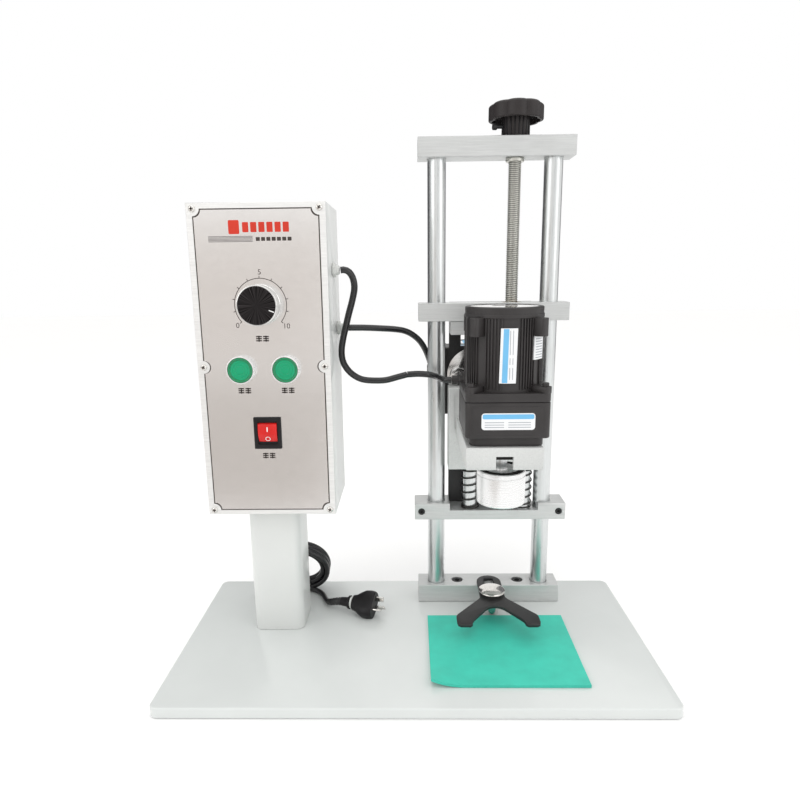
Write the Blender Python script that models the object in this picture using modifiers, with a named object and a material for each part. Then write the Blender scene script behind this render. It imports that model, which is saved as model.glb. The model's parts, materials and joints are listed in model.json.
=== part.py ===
# Desktop capping machine: base plate with a control box on a post, and a two-rod column whose carriage
# carries a lift motor, a sprung capping head with its motor, and a chuck over the bottle place.
# Metres, +Z up, origin at the middle of the base plate's underside, front towards -Y.

import math

import bmesh
import bpy
from mathutils import Euler, Matrix, Vector

mm = 0.001
gap = 0.3 * mm  # between touching pieces
overshoot = 2 * mm  # how far a cutter runs past the wall it cuts

# Base plate
plate_size = (500 * mm, 240 * mm, 11 * mm)
plate_corner = 8 * mm
deck = plate_size[2]

# Post and control box
post_x, post_y = -152.5 * mm, 36 * mm
post_side, post_wall, post_corner = 56 * mm, 3 * mm, 9 * mm
box_x = -148 * mm
box_width, box_height = 134 * mm, 315 * mm
box_bottom = 159 * mm
box_front, box_back = -12 * mm, 78 * mm
box_wall, panel_thick = 2 * mm, 2 * mm
dial_z, button_z, switch_z = 377.2 * mm, 313.5 * mm, 247.5 * mm
button_pitch = 44.8 * mm
button_travel = 2.5 * mm
rocker_pivot_y = box_front + 4 * mm
rocker_tilt = math.radians(9)

# Column
column_x, column_y = 91.5 * mm, 82.5 * mm
bar_depth, bar_height = 30 * mm, 20 * mm
bar_front, bar_back = column_y - bar_depth / 2, column_y + bar_depth / 2
rod_pitch, rod_radius = 126 * mm, 10 * mm
block_width, block_top = 170 * mm, 33 * mm
bolt_pitch = 74 * mm
top_width, top_low, top_high = 167 * mm, 526 * mm, 546.7 * mm
screw_x = 112.8 * mm
screw_radius, screw_low, screw_high = 7 * mm, 288 * mm, 556 * mm
wheel_radius, wheel_low, wheel_high = 29 * mm, 563 * mm, 580 * mm

# Carriage
middle_low = 353.2 * mm
lower_low, lower_width = 118.4 * mm, 178 * mm
seat_left, seat_right, seat_floor = 44 * mm, 148 * mm, 129.8 * mm
back_left, back_right = 44 * mm, 139 * mm
back_thick = 6 * mm
post_positions = {"left": 68.7 * mm, "right": 131.5 * mm}
guide_y, guide_radius, guide_top = 79 * mm, 8.5 * mm, 255 * mm
spring_wire, spring_turns = 1.6 * mm, 5

# Head
head_x, head_y = 90 * mm, -20 * mm
motor_x = 89.5 * mm
motor_side = 80 * mm
slide_left, slide_right, slide_back = 42 * mm, 141 * mm, 90.5 * mm
slide_low, slide_high = 180.5 * mm, 277.6 * mm
shelf_left, shelf_right, shelf_front = 50.5 * mm, 124 * mm, -60 * mm
shelf_low, shelf_high, shelf_wall = 221.7 * mm, 243.8 * mm, 5 * mm

# Lift drive
crank_x, crank_z = 73.5 * mm, 289 * mm
crank_radius, crank_throw = 32 * mm, 19.5 * mm
roller_radius = 10 * mm
lift_z = crank_z - 10 * mm

# Fork and mat
fork_x, stand_y = 92 * mm, 43 * mm
fork_thick = 3.5 * mm
fork_low = block_top + gap
mat_size = (155 * mm, 123 * mm, 3 * mm)
mat_place = (93.8 * mm, -29.5 * mm)

# Cords
mains_radius, cable_radius = 3.1 * mm, 3.5 * mm
coil_centre = (-140 * mm, 89.4 * mm, 48.2 * mm)
coil_lean = math.radians(20)
coil_inner, coil_outer, coil_half = 24 * mm, 36 * mm, 9 * mm
mains_upper_route = [
    (-148, 90.8, 185), (-148, 98, 184.6), (-149.2, 106.5, 180), (-152, 112.2, 171), (-156, 113.4, 159),
    (-160.8, 109.8, 145), (-165.4, 103, 129), (-169, 95.4, 112), (-171.4, 88.8, 96), (-172, 84.8, 82),
    (-172, 82.6, 71),
]
mains_lower_route = [
    (-123.5, 89.8, 14.6), (-116.5, 84.5, 14.5), (-111.5, 77, 14.5), (-108, 68.5, 14.8), (-104, 60, 16),
    (-98.5, 54, 19), (-93, 52, 20.8), (-88.6, 51.5, 21.2),
]
head_cable_route = [
    (-72.8, 26, 410), (-69, 26.6, 410.2), (-64.4, 28.6, 408.2), (-60.6, 31, 401.6), (-59.4, 32, 391.6),
    (-62, 33, 379), (-66, 34, 365.6), (-69.7, 35.2, 352), (-73.6, 37, 337), (-75.6, 38, 324),
    (-74.4, 39.2, 313), (-69.5, 41, 303.6), (-62.3, 43, 296.6), (-53.7, 45, 292.3), (-41.8, 47, 290.7),
    (-28.6, 49, 290.8), (-15.3, 51.4, 293.8), (-5.4, 53, 296.1),
]
head_cable_end_route = [
    (-4.6, 53.1, 296.2), (6.9, 54.6, 296.5), (19, 53, 295.8), (28, 45, 294.6), (31.6, 35.6, 294.1),
    (36.6, 29, 294), (42.2, 27.6, 294),
]
lift_cable_route = [
    (-73.2, 52, 348.6), (-65.2, 53.6, 348.5), (-51, 58.2, 347.9), (-35, 64, 346.6), (-18.5, 71, 344.8),
    (-7, 77.5, 342), (2, 84.5, 336.6), (10, 92.5, 328.5), (16, 101.5, 318), (20.4, 112, 306.5),
    (23.4, 124, 296.2), (25.6, 134, 289), (26.8, 142, 284.8), (27, 149, 283.4),
]
cord_spacing = 15 * mm
end_straight = 3 * mm  # a short first and last segment keeps each end square to its cord

machine = None
cutters = None


def clear_scene():
    for old in list(bpy.data.objects):
        bpy.data.objects.remove(old, do_unlink=True)


def material(name, colour, roughness, metallic=0.0):
    made = bpy.data.materials.new(name)
    made.use_nodes = True
    shader = made.node_tree.nodes["Principled BSDF"]
    shader.inputs["Base Color"].default_value = (*colour, 1)
    shader.inputs["Roughness"].default_value = roughness
    shader.inputs["Metallic"].default_value = metallic
    return made


def place_in(collection, obj, finish=None):
    for held in list(obj.users_collection):
        held.objects.unlink(obj)
    collection.objects.link(obj)
    if finish:
        obj.data.materials.clear()
        obj.data.materials.append(finish)
    return obj


def mesh_object(name, shape, finish=None):
    mesh = bpy.data.meshes.new(name)
    shape.to_mesh(mesh)
    shape.free()
    return place_in(machine, bpy.data.objects.new(name, mesh), finish)


def block(name, low, high, finish=None, bevel=0.0):
    """A box from its lowest and highest corners."""
    shape = bmesh.new()
    size = [h - l for l, h in zip(low, high)]
    middle = [(h + l) / 2 for l, h in zip(low, high)]
    bmesh.ops.create_cube(shape, size=1, matrix=Matrix.Translation(middle) @ Matrix.Diagonal((*size, 1)))
    obj = mesh_object(name, shape, finish)
    if bevel:
        soften(obj, bevel)
    return obj


def soften(obj, width, segments=1):
    edge = obj.modifiers.new("soft_edges", "BEVEL")
    edge.width = width
    edge.segments = segments
    edge.limit_method = "ANGLE"
    edge.angle_limit = math.radians(50)
    return obj


def rounded_block(name, low, high, corner, finish=None, segments=4):
    """A box whose upright edges are rounded."""
    shape = bmesh.new()
    size = [h - l for l, h in zip(low, high)]
    middle = [(h + l) / 2 for l, h in zip(low, high)]
    bmesh.ops.create_cube(shape, size=1, matrix=Matrix.Translation(middle) @ Matrix.Diagonal((*size, 1)))
    upright = [e for e in shape.edges if abs(e.verts[0].co.z - e.verts[1].co.z) > 0.5 * size[2]]
    bmesh.ops.bevel(shape, geom=upright, offset=corner, segments=segments, affect="EDGES", profile=0.5)
    return mesh_object(name, shape, finish)


def cylinder(name, start, end, radius, finish=None, sides=32, end_radius=None):
    """A cylinder or cone from one point to another."""
    shape = bmesh.new()
    along = Vector(end) - Vector(start)
    middle = (Vector(start) + Vector(end)) / 2
    bmesh.ops.create_cone(
        shape, cap_ends=True, segments=sides, radius1=radius, radius2=radius if end_radius is None else end_radius,
        depth=along.length, matrix=Matrix.Translation(middle) @ along.to_track_quat("Z").to_matrix().to_4x4(),
    )
    return smooth_round(mesh_object(name, shape, finish))


def smooth_round(obj):
    obj.data.shade_smooth()
    obj.data.set_sharp_from_angle(angle=math.radians(35))
    return obj


def outline_block(name, outlines, low, high, finish=None):
    """A flat outline, with any holes in it, from one height to another."""
    curve = bpy.data.curves.new(name, "CURVE")
    curve.dimensions = "2D"
    curve.fill_mode = "BOTH"
    curve.extrude = (high - low) / 2
    for outline in outlines:
        spline = curve.splines.new("POLY")
        spline.points.add(len(outline) - 1)
        for point, (x, y) in zip(spline.points, outline):
            point.co = (x, y, 0, 1)
        spline.use_cyclic_u = True
    obj = place_in(machine, bpy.data.objects.new(name, curve))
    obj.location = (0, 0, (low + high) / 2)
    return as_mesh(obj, finish)


def as_mesh(obj, finish=None):
    """The curve's evaluated solid as a mesh, with its caps welded."""
    bpy.context.view_layer.update()
    mesh = bpy.data.meshes.new_from_object(obj.evaluated_get(bpy.context.evaluated_depsgraph_get()))
    mesh.transform(obj.matrix_world)
    shape = bmesh.new()
    shape.from_mesh(mesh)
    bmesh.ops.remove_doubles(shape, verts=shape.verts, dist=1e-6)
    bmesh.ops.recalc_face_normals(shape, faces=shape.faces)
    name = obj.name
    curve = obj.data
    bpy.data.objects.remove(obj)
    bpy.data.curves.remove(curve)
    bpy.data.meshes.remove(mesh)
    return mesh_object(name, shape, finish)


def turned(name, profile, centre, finish=None, steps=32, turn=None):
    """A profile of (radius, height) points, from top to bottom of its outer side, turned about an upright
    axis through the centre."""
    mesh = bpy.data.meshes.new(name)
    points = [(r, 0, z) for r, z in profile]
    closed = profile[0][0] > 0 and profile[-1][0] > 0
    edges = [(i, i + 1) for i in range(len(points) - 1)]
    if closed:
        edges.append((len(points) - 1, 0))
    mesh.from_pydata(points, edges, [])
    obj = place_in(machine, bpy.data.objects.new(name, mesh))
    screw = obj.modifiers.new("turned", "SCREW")
    screw.steps = steps
    screw.render_steps = steps
    screw.use_merge_vertices = True
    screw.merge_threshold = 1e-6
    obj.location = centre
    if turn:
        obj.rotation_euler = turn
    bpy.context.view_layer.update()
    made = bpy.data.meshes.new_from_object(obj.evaluated_get(bpy.context.evaluated_depsgraph_get()))
    made.transform(obj.matrix_world)
    bpy.data.objects.remove(obj)
    bpy.data.meshes.remove(mesh)
    shape = bmesh.new()
    shape.from_mesh(made)
    bmesh.ops.remove_doubles(shape, verts=shape.verts, dist=1e-6)
    bmesh.ops.recalc_face_normals(shape, faces=shape.faces)
    bpy.data.meshes.remove(made)
    return smooth_round(mesh_object(name, shape, finish))


def combine(target, other, operation):
    """A Boolean with a helper that moves to the cutters' collection."""
    place_in(cutters, other)
    other.hide_render = True
    other.display_type = "WIRE"
    change = target.modifiers.new(other.name, "BOOLEAN")
    change.operation = operation
    change.solver = "EXACT"
    change.object = other
    return target


def cut(target, *others):
    for other in others:
        combine(target, other, "DIFFERENCE")
    return target


def join(target, *others):
    for other in others:
        combine(target, other, "UNION")
    return target


def upright_hole(name, x, y, radius, low, high, sides=32):
    return cylinder(name, (x, y, low), (x, y, high), radius, sides=sides)


def smooth_points(route, spacing):
    """Points about a spacing apart on a smooth curve through a route given in millimetres."""
    knots = [Vector(p) * mm for p in route]
    knots = [2 * knots[0] - knots[1], *knots, 2 * knots[-1] - knots[-2]]
    fine = []
    for a, b, c, d in zip(knots, knots[1:], knots[2:], knots[3:]):
        for i in range(20):
            t = i / 20
            fine.append(
                b + 0.5 * t * (c - a + t * (2 * a - 5 * b + 4 * c - d + t * (3 * (b - c) + d - a)))
            )
    fine.append(knots[-2])
    lengths = [0.0]
    for a, b in zip(fine, fine[1:]):
        lengths.append(lengths[-1] + (b - a).length)
    count = max(3, round(lengths[-1] / spacing))
    places = [lengths[-1] * i / count for i in range(count + 1)]
    places[1:1] = [end_straight]
    places[-1:-1] = [lengths[-1] - end_straight]
    points = []
    for wanted in places:
        k = next((n for n, at in enumerate(lengths) if at >= wanted), len(lengths) - 1)
        if k == 0:
            points.append(fine[0])
            continue
        share = (wanted - lengths[k - 1]) / (lengths[k] - lengths[k - 1])
        points.append(fine[k - 1].lerp(fine[k], min(1.0, share)))
    return points


def tube(name, points, radius, finish, resolution=2):
    curve = bpy.data.curves.new(name, "CURVE")
    curve.dimensions = "3D"
    curve.bevel_depth = radius
    curve.bevel_resolution = resolution
    curve.use_fill_caps = True
    spline = curve.splines.new("POLY")
    spline.points.add(len(points) - 1)
    for point, place in zip(spline.points, points):
        point.co = (*place, 1)
    return place_in(machine, bpy.data.objects.new(name, curve), finish)


def set_origin(obj, place):
    """Moves the object's origin, and not its shape, to a point on its joint's axis."""
    obj.data.transform(Matrix.Translation(-Vector(place)))
    obj.location = place
    return obj


# Base, post and control box

def make_base(finish):
    half_x, half_y = plate_size[0] / 2, plate_size[1] / 2
    plate = rounded_block("base_plate", (-half_x, -half_y, 0), (half_x, half_y, deck), plate_corner, finish["base"], 6)
    soften(plate, 1.2 * mm)
    for side, sign in (("left", -1), ("right", 1)):
        x = column_x + sign * bolt_pitch / 2
        cut(plate, upright_hole(f"plate_hole_{side}", x, column_y, 4.4 * mm, 3 * mm, deck + overshoot, 16))
    return plate


def make_post(finish):
    half = post_side / 2
    low, high = deck + gap, box_bottom - gap
    post = rounded_block(
        "post", (post_x - half, post_y - half, low), (post_x + half, post_y + half, high), post_corner, finish["white"]
    )
    inner = half - post_wall
    cut(post, rounded_block(
        "post_hollow", (post_x - inner, post_y - inner, low - overshoot),
        (post_x + inner, post_y + inner, high + overshoot), post_corner - post_wall,
    ))
    return post


def box_corners():
    low = (box_x - box_width / 2, box_front, box_bottom)
    high = (box_x + box_width / 2, box_back, box_bottom + box_height)
    return low, high


def make_box_shell(finish):
    low, high = box_corners()
    front, back = box_front + panel_thick + gap, box_back - panel_thick - gap
    shell = block("control_box_shell", (low[0], front, low[2]), (high[0], back, high[2]), finish["white"])
    cut(
        shell,
        block("shell_hollow", (low[0] + box_wall, front - overshoot, low[2] + box_wall),
              (high[0] - box_wall, back + overshoot, high[2] - box_wall)),
        upright_hole("shell_post_hole", post_x, post_y, 12 * mm, low[2] - overshoot, low[2] + 2 * overshoot, 24),
    )
    for name, (y, z) in side_glands().items():
        cut(shell, cylinder(f"{name}_hole", (high[0] - 2 * overshoot, y, z), (high[0] + overshoot, y, z),
                            4.6 * mm, sides=16))
    return shell


def make_front_panel(finish):
    low, high = box_corners()
    panel = block("front_panel", low, (high[0], box_front + panel_thick, high[2]), finish["steel"], 0.3 * mm)
    front, back = box_front - overshoot, box_front + panel_thick + overshoot
    cut(panel, cylinder("panel_dial_hole", (box_x, front, dial_z), (box_x, back, dial_z), 3.8 * mm, sides=16))
    for side, sign in (("start", -1), ("stop", 1)):
        x = box_x + sign * button_pitch / 2
        cut(panel, cylinder(f"panel_{side}_hole", (x, front, button_z), (x, back, button_z), 12 * mm))
    cut(panel, block("panel_switch_hole", (box_x - 12.5 * mm, front, switch_z - 15 * mm),
                     (box_x + 12.5 * mm, back, switch_z + 15 * mm)))
    return panel


def make_rear_cover(finish):
    low, high = box_corners()
    cover = block("rear_cover", (low[0], box_back - panel_thick, low[2]), high, finish["white"], 0.3 * mm)
    z = mains_upper_route[0][2] * mm
    cut(cover, cylinder("cover_cord_hole", (box_x, box_back - 2 * overshoot, z), (box_x, box_back + overshoot, z),
                        5 * mm, sides=16))
    return cover


def make_control_board(finish):
    board_y = box_back - 22 * mm
    z = box_bottom + 215 * mm
    board = block("speed_control_board", (box_x - 48 * mm, board_y, z - 65 * mm),
                  (box_x + 48 * mm, board_y + 1.6 * mm, z + 65 * mm), finish["board"])
    for i, (dx, dz, w, h, d) in enumerate((
        (-25, 35, 34, 40, 16), (20, 30, 40, 22, 30), (-20, -30, 30, 50, 22), (24, -35, 24, 16, 12), (28, -5, 12, 12, 24),
    )):
        join(board, block(
            f"board_part_{i}", (box_x + (dx - w / 2) * mm, board_y - d * mm, z + (dz - h / 2) * mm),
            (box_x + (dx + w / 2) * mm, board_y + 0.8 * mm, z + (dz + h / 2) * mm),
        ))
    return board


def side_glands():
    return {
        "head_cable_gland": (head_cable_route[0][1] * mm, head_cable_route[0][2] * mm),
        "lift_cable_gland": (lift_cable_route[0][1] * mm, lift_cable_route[0][2] * mm),
    }


def make_glands(finish):
    side = box_x + box_width / 2
    for name, (y, z) in side_glands().items():
        gland = cylinder(name, (side + gap, y, z), (side + 3.6 * mm, y, z), 7.5 * mm, finish["black"], 6)
        join(
            gland,
            cylinder(f"{name}_nose", (side + 2 * mm, y, z), (side + 7.2 * mm, y, z), 5.4 * mm, sides=20,
                     end_radius=4.6 * mm),
            cylinder(f"{name}_neck", (side - 6 * mm, y, z), (side + 2 * mm, y, z), 4.2 * mm, sides=16),
        )
    z = mains_upper_route[0][2] * mm
    gland = cylinder("mains_cord_gland", (box_x, box_back + gap, z), (box_x, box_back + 3.6 * mm, z),
                     8 * mm, finish["black"], 20)
    join(
        gland,
        cylinder("mains_nose", (box_x, box_back + 2 * mm, z), (box_x, box_back + 12.2 * mm, z), 6 * mm, sides=20,
                 end_radius=4 * mm),
        cylinder("mains_neck", (box_x, box_back - 8 * mm, z), (box_x, box_back + 2 * mm, z), 4.6 * mm, sides=16),
    )


# Controls

def make_speed_dial(finish):
    behind = box_front + panel_thick + gap
    pot = cylinder("speed_potentiometer", (box_x, behind, dial_z), (box_x, behind + 12 * mm, dial_z), 12 * mm,
                   finish["steel"], 24)
    join(
        pot,
        cylinder("pot_bush", (box_x, box_front - 1.5 * mm, dial_z), (box_x, behind + mm, dial_z), 3.5 * mm, sides=16),
        cylinder("pot_shaft", (box_x, box_front - 11 * mm, dial_z), (box_x, behind + mm, dial_z), 3 * mm, sides=16),
    )
    profile = [(0, 17.5), (18.9, 17.5), (19.6, 16.8), (19.8, 3), (20.2, 0.6), (0, 0.6)]
    knob = turned("speed_knob", [(r * mm, z * mm) for r, z in profile], (box_x, box_front, dial_z),
                  finish["black"], 40, Euler((math.pi / 2, 0, 0)))
    cut(knob, cylinder("knob_bore", (box_x, box_front + overshoot, dial_z), (box_x, box_front - 11.5 * mm, dial_z),
                       4 * mm, sides=16))
    return set_origin(knob, (box_x, box_front, dial_z))


def make_button(name, sign, finish):
    x = box_x + sign * button_pitch / 2
    front, seat = box_front - 8 * mm, box_front - 1.5 * mm
    body = cylinder(f"{name}_button_body", (x, box_front + 28 * mm, button_z), (x, box_front - mm, button_z),
                    11.6 * mm, finish["steel"])
    join(body, cylinder(f"{name}_bezel", (x, box_front - gap, button_z), (x, front, button_z), 14 * mm, sides=40,
                        end_radius=13.4 * mm))
    cut(
        body,
        cylinder(f"{name}_bore", (x, seat, button_z), (x, front - overshoot, button_z), 12.9 * mm, sides=40),
        cylinder(f"{name}_stem_bore", (x, box_front + 16 * mm, button_z), (x, front, button_z), 5.4 * mm, sides=24),
    )
    profile = [(0, 8), (6.2, 7.8), (6.8, 8.5), (7.4, 8.5), (8, 7.8), (11, 8.3), (12, 8.2), (12.5, 7.6), (12.5, 4.6),
               (5, 4.6), (5, -12), (0, -12)]
    cap = turned(f"{name}_button", [(r * mm, z * mm) for r, z in profile], (x, box_front, button_z),
                 finish["green"], 32, Euler((math.pi / 2, 0, 0)))
    set_origin(cap, (x, box_front, button_z))


def make_power_switch(finish):
    front, back = box_front - 2.2 * mm, box_front + 24 * mm
    body = block("power_switch_body", (box_x - 14 * mm, front, switch_z - 16.6 * mm),
                 (box_x + 14 * mm, box_front - gap, switch_z + 16.6 * mm), finish["black"])
    join(body, block("switch_case", (box_x - 12.2 * mm, box_front - mm, switch_z - 14.7 * mm),
                     (box_x + 12.2 * mm, back, switch_z + 14.7 * mm)))
    cut(body, block("switch_pocket", (box_x - 10.1 * mm, front - overshoot, switch_z - 12 * mm),
                    (box_x + 10.1 * mm, box_front + 10 * mm, switch_z + 12 * mm)))
    # The rocker's section: two faces that meet at a ridge, with ends on a circle about the pivot.
    reach, ridge = 11.4 * mm, 7.2 * mm
    section = [(0, ridge)]
    section += [(reach * math.sin(math.radians(a)), reach * math.cos(math.radians(a))) for a in (62, 76, 90, 102)]
    section += [(-y, f) for y, f in reversed(section[1:])]
    half = 9.7 * mm
    shape = bmesh.new()
    near = [shape.verts.new((-half, -f, z)) for z, f in section]
    face = shape.faces.new(near)
    grown = bmesh.ops.extrude_face_region(shape, geom=[face])
    bmesh.ops.translate(shape, vec=(2 * half, 0, 0), verts=[v for v in grown["geom"] if isinstance(v, bmesh.types.BMVert)])
    bmesh.ops.recalc_face_normals(shape, faces=shape.faces)
    bmesh.ops.rotate(shape, verts=shape.verts, cent=(0, 0, 0), matrix=Matrix.Rotation(rocker_tilt, 3, "X"))
    rocker = mesh_object("power_rocker", shape, finish["red"])
    rocker.location = (box_x, rocker_pivot_y, switch_z)


# Column

def rod_places():
    return {"left": column_x - rod_pitch / 2, "right": column_x + rod_pitch / 2}


def cut_rod_holes(bar, low, high):
    for side, x in rod_places().items():
        cut(bar, upright_hole(f"{bar.name}_{side}_rod_hole", x, column_y, rod_radius + gap, low - overshoot,
                              high + overshoot))


def make_column(finish):
    low = deck + gap
    base = block("base_block", (column_x - block_width / 2, bar_front, low),
                 (column_x + block_width / 2, bar_back, block_top), finish["aluminium"], 0.5 * mm)
    cut_rod_holes(base, low, block_top)
    for side, sign in (("left", -1), ("right", 1)):
        x = column_x + sign * bolt_pitch / 2
        cut(base, upright_hole(f"bolt_{side}_clear", x, column_y, 4.4 * mm, low - overshoot, block_top + overshoot, 16),
            upright_hole(f"bolt_{side}_sink", x, column_y, 6.9 * mm, block_top - 9 * mm, block_top + overshoot, 24))
        bolt = upright_hole(f"base_block_bolt_{side}", x, column_y, 6.5 * mm, block_top - 8.7 * mm,
                            block_top - 0.7 * mm, 24)
        place_in(machine, bolt, finish["black"])
        join(bolt, upright_hole(f"bolt_{side}_shank", x, column_y, 4 * mm, 3.4 * mm, block_top - 8 * mm, 16))
        cut(bolt, upright_hole(f"bolt_{side}_socket", x, column_y, 3.4 * mm, block_top - 5 * mm,
                               block_top + overshoot, 6))
    for side, x in rod_places().items():
        rod = upright_hole(f"guide_rod_{side}", x, column_y, rod_radius, low, top_high - gap, 32)
        place_in(machine, rod, finish["chrome"])
    top = block("top_plate", (column_x - top_width / 2, bar_front, top_low),
                (column_x + top_width / 2, bar_back, top_high), finish["aluminium"], 0.5 * mm)
    cut_rod_holes(top, top_low, top_high)
    cut(top, upright_hole("bearing_hole", screw_x, column_y, 9.1 * mm, top_low - overshoot, top_high + overshoot))
    bearing = upright_hole("lead_screw_bearing", screw_x, column_y, 8.8 * mm, top_low - mm, top_high - gap)
    place_in(machine, bearing, finish["bronze"])
    join(bearing, upright_hole("bearing_flange", screw_x, column_y, 9.9 * mm, top_low - 3 * mm, top_low - gap))
    cut(bearing, upright_hole("bearing_bore", screw_x, column_y, screw_radius + gap, top_low - 5 * mm,
                              top_high + overshoot))


def make_lead_screw(finish):
    screw = upright_hole("lead_screw", screw_x, column_y, screw_radius, screw_low, screw_high, 24)
    place_in(machine, screw, finish["steel"])
    lobes, depth = 8, 1.3 * mm
    outline = []
    for i in range(lobes * 6):
        angle = 2 * math.pi * i / (lobes * 6)
        radius = wheel_radius - depth + depth * math.cos(lobes * angle)
        outline.append((screw_x + radius * math.cos(angle), column_y + radius * math.sin(angle)))
    wheel = outline_block("handwheel", [outline], wheel_low, wheel_high, finish["black"])
    join(wheel, upright_hole("wheel_hub", screw_x, column_y, 15 * mm, top_high + 2 * gap, wheel_low + mm))
    cut(wheel, upright_hole("wheel_bore", screw_x, column_y, screw_radius + gap, top_high - overshoot,
                            screw_high + gap))
    set_origin(wheel, (screw_x, column_y, 0))
    set_origin(screw, (screw_x, column_y, 0))


# Carriage

def make_carriage_bars(finish):
    middle_high = middle_low + bar_height
    middle = block("middle_bar", (column_x - top_width / 2, bar_front, middle_low),
                   (column_x + top_width / 2, bar_back, middle_high), finish["aluminium"], 0.5 * mm)
    cut_rod_holes(middle, middle_low, middle_high)
    cut(middle, upright_hole("nut_hole", screw_x, column_y, 11.3 * mm, middle_low - overshoot, middle_high + overshoot))
    nut = upright_hole("lead_screw_nut", screw_x, column_y, 11 * mm, middle_low + gap, middle_high - gap)
    place_in(machine, nut, finish["bronze"])
    cut(nut, upright_hole("nut_bore", screw_x, column_y, screw_radius + gap, middle_low - overshoot,
                          middle_high + overshoot))

    lower_high = lower_low + bar_height
    lower = block("lower_bar", (column_x - lower_width / 2, bar_front, lower_low),
                  (column_x + lower_width / 2, bar_back, lower_high), finish["aluminium"], 0.5 * mm)
    cut(lower, block("bar_seat", (seat_left, bar_front - overshoot, seat_floor),
                     (seat_right, bar_back + overshoot, lower_high + overshoot)))
    cut_rod_holes(lower, lower_low, lower_high)
    for side, x in post_positions.items():
        cut(lower, upright_hole(f"guide_{side}_hole", x, guide_y, guide_radius + gap, lower_low - overshoot,
                                lower_high + overshoot))
        guide = upright_hole(f"guide_post_{side}", x, guide_y, guide_radius, lower_low + gap, guide_top)
        place_in(machine, guide, finish["chrome"])
    z = lower_low + bar_height / 2
    for side, x in (("left", column_x - 81 * mm), ("right", column_x + 81 * mm)):
        cut(lower, cylinder(f"clamp_{side}_hole", (x, bar_front - overshoot, z), (x, bar_front + 8 * mm, z), 4.2 * mm, sides=16))
        screw = cylinder(f"clamp_screw_{side}", (x, bar_front + gap, z), (x, bar_front + 7.6 * mm, z), 3.9 * mm, finish["black"], 16)
        cut(screw, cylinder(f"clamp_{side}_socket", (x, bar_front - overshoot, z), (x, bar_front + 3.5 * mm, z),
                            2.1 * mm, sides=6))


def make_springs(finish):
    low, high = seat_floor + gap + spring_wire / 2, slide_low - gap - spring_wire / 2
    radius = guide_radius + gap + spring_wire / 2
    count = spring_turns * 12
    for side, x in post_positions.items():
        points = []
        for i in range(count + 1):
            angle = 2 * math.pi * i / 12
            points.append((x + radius * math.cos(angle), guide_y + radius * math.sin(angle),
                           low + (high - low) * i / count))
        tube(f"return_spring_{side}", points, spring_wire / 2, finish["black"], 1)


def make_lift_mount(finish):
    low, high = 337.8 * mm, middle_low - gap
    hanger = block("hanger_block", (back_left, bar_front + 2.5 * mm, low), (back_right, bar_back - gap, high),
                   finish["aluminium"], 0.4 * mm)
    cut(hanger, upright_hole("hanger_screw_hole", screw_x, column_y, screw_radius + 1.5 * mm, low - overshoot,
                             high + overshoot))
    front = bar_back + gap
    plate = block("lift_back_plate", (back_left, front, lower_low), (back_right, front + back_thick,
                  middle_low + bar_height), finish["dark"], 0.4 * mm)
    cut(
        plate,
        cylinder("shaft_hole", (crank_x, front - overshoot, crank_z), (crank_x, front + 2 * back_thick, crank_z),
                 9 * mm),
        block("plate_window", (back_left + 13.5 * mm, front - overshoot, 322 * mm),
              (back_left + 33 * mm, front + 2 * back_thick, low - gap)),
    )


def square_body(name, x, y, half, low, high, corner, finish, axis="Z"):
    """A square gearbox or flange body with rounded long edges, along Z or along Y."""
    body = rounded_block(name, (-half, -half, low), (half, half, high), corner, finish, 3)
    if axis == "Y":
        body.data.transform(Matrix.Rotation(-math.pi / 2, 4, "X"))
    body.data.transform(Matrix.Translation((x, 0, y) if axis == "Y" else (x, y, 0)))
    return body


def make_lift_drive(finish):
    start = bar_back + gap + back_thick + gap
    gear_end = start + 40 * mm
    gear = square_body("lift_gearbox", crank_x, lift_z, motor_side / 2, start, gear_end, 5 * mm, finish["motor"], "Y")
    cut(gear, cylinder("lift_gear_bore", (crank_x, start - overshoot, crank_z), (crank_x, start + 24 * mm, crank_z),
                       6.3 * mm))
    flange = gear_end + gap
    motor = square_body("lift_motor", crank_x, lift_z, motor_side / 2, flange, flange + 8 * mm, 5 * mm,
                        finish["motor"], "Y")
    boss_x = crank_x - 46.5 * mm
    boss_z = lift_cable_route[-1][2] * mm
    join(
        motor,
        cylinder("lift_motor_can", (crank_x, flange + 7 * mm, lift_z), (crank_x, flange + 70 * mm, lift_z),
                 38.5 * mm, sides=40),
        cylinder("lift_motor_cap", (crank_x, flange + 69 * mm, lift_z), (crank_x, flange + 81 * mm, lift_z),
                 36.3 * mm, sides=40),
        block("lift_motor_box", (boss_x - 7 * mm, flange + 12 * mm, boss_z - 8 * mm),
              (boss_x + 12 * mm, flange + 28 * mm, boss_z + 7 * mm)),
        cylinder("lift_motor_gland", (boss_x, flange + 5.5 * mm, boss_z), (boss_x, flange + 13 * mm, boss_z),
                 5 * mm, sides=16),
    )
    front = bar_back - 6 * mm
    disc = cylinder("crank_disc", (crank_x, front, crank_z), (crank_x, front + 5.5 * mm, crank_z), crank_radius,
                    finish["aluminium"], 40)
    pin_x = crank_x - crank_throw
    head = guide_y - 2.6 * mm
    join(
        disc,
        cylinder("crank_shaft", (crank_x, front + 3 * mm, crank_z), (crank_x, start + 22 * mm, crank_z), 6 * mm,
                 sides=24),
        cylinder("crank_pin", (pin_x, head + mm, crank_z), (pin_x, front + mm, crank_z), 4 * mm, sides=20),
        cylinder("crank_pin_head", (pin_x, head, crank_z), (pin_x, head + 2.6 * mm, crank_z), 5.6 * mm, sides=20),
    )
    roller = cylinder("crank_roller", (pin_x, head + 2.6 * mm + gap, crank_z), (pin_x, front - gap, crank_z),
                      roller_radius, finish["steel"])
    cut(roller, cylinder("roller_bore", (pin_x, head - overshoot, crank_z), (pin_x, front + overshoot, crank_z),
                         4.3 * mm, sides=20))


# Capping head

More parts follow.
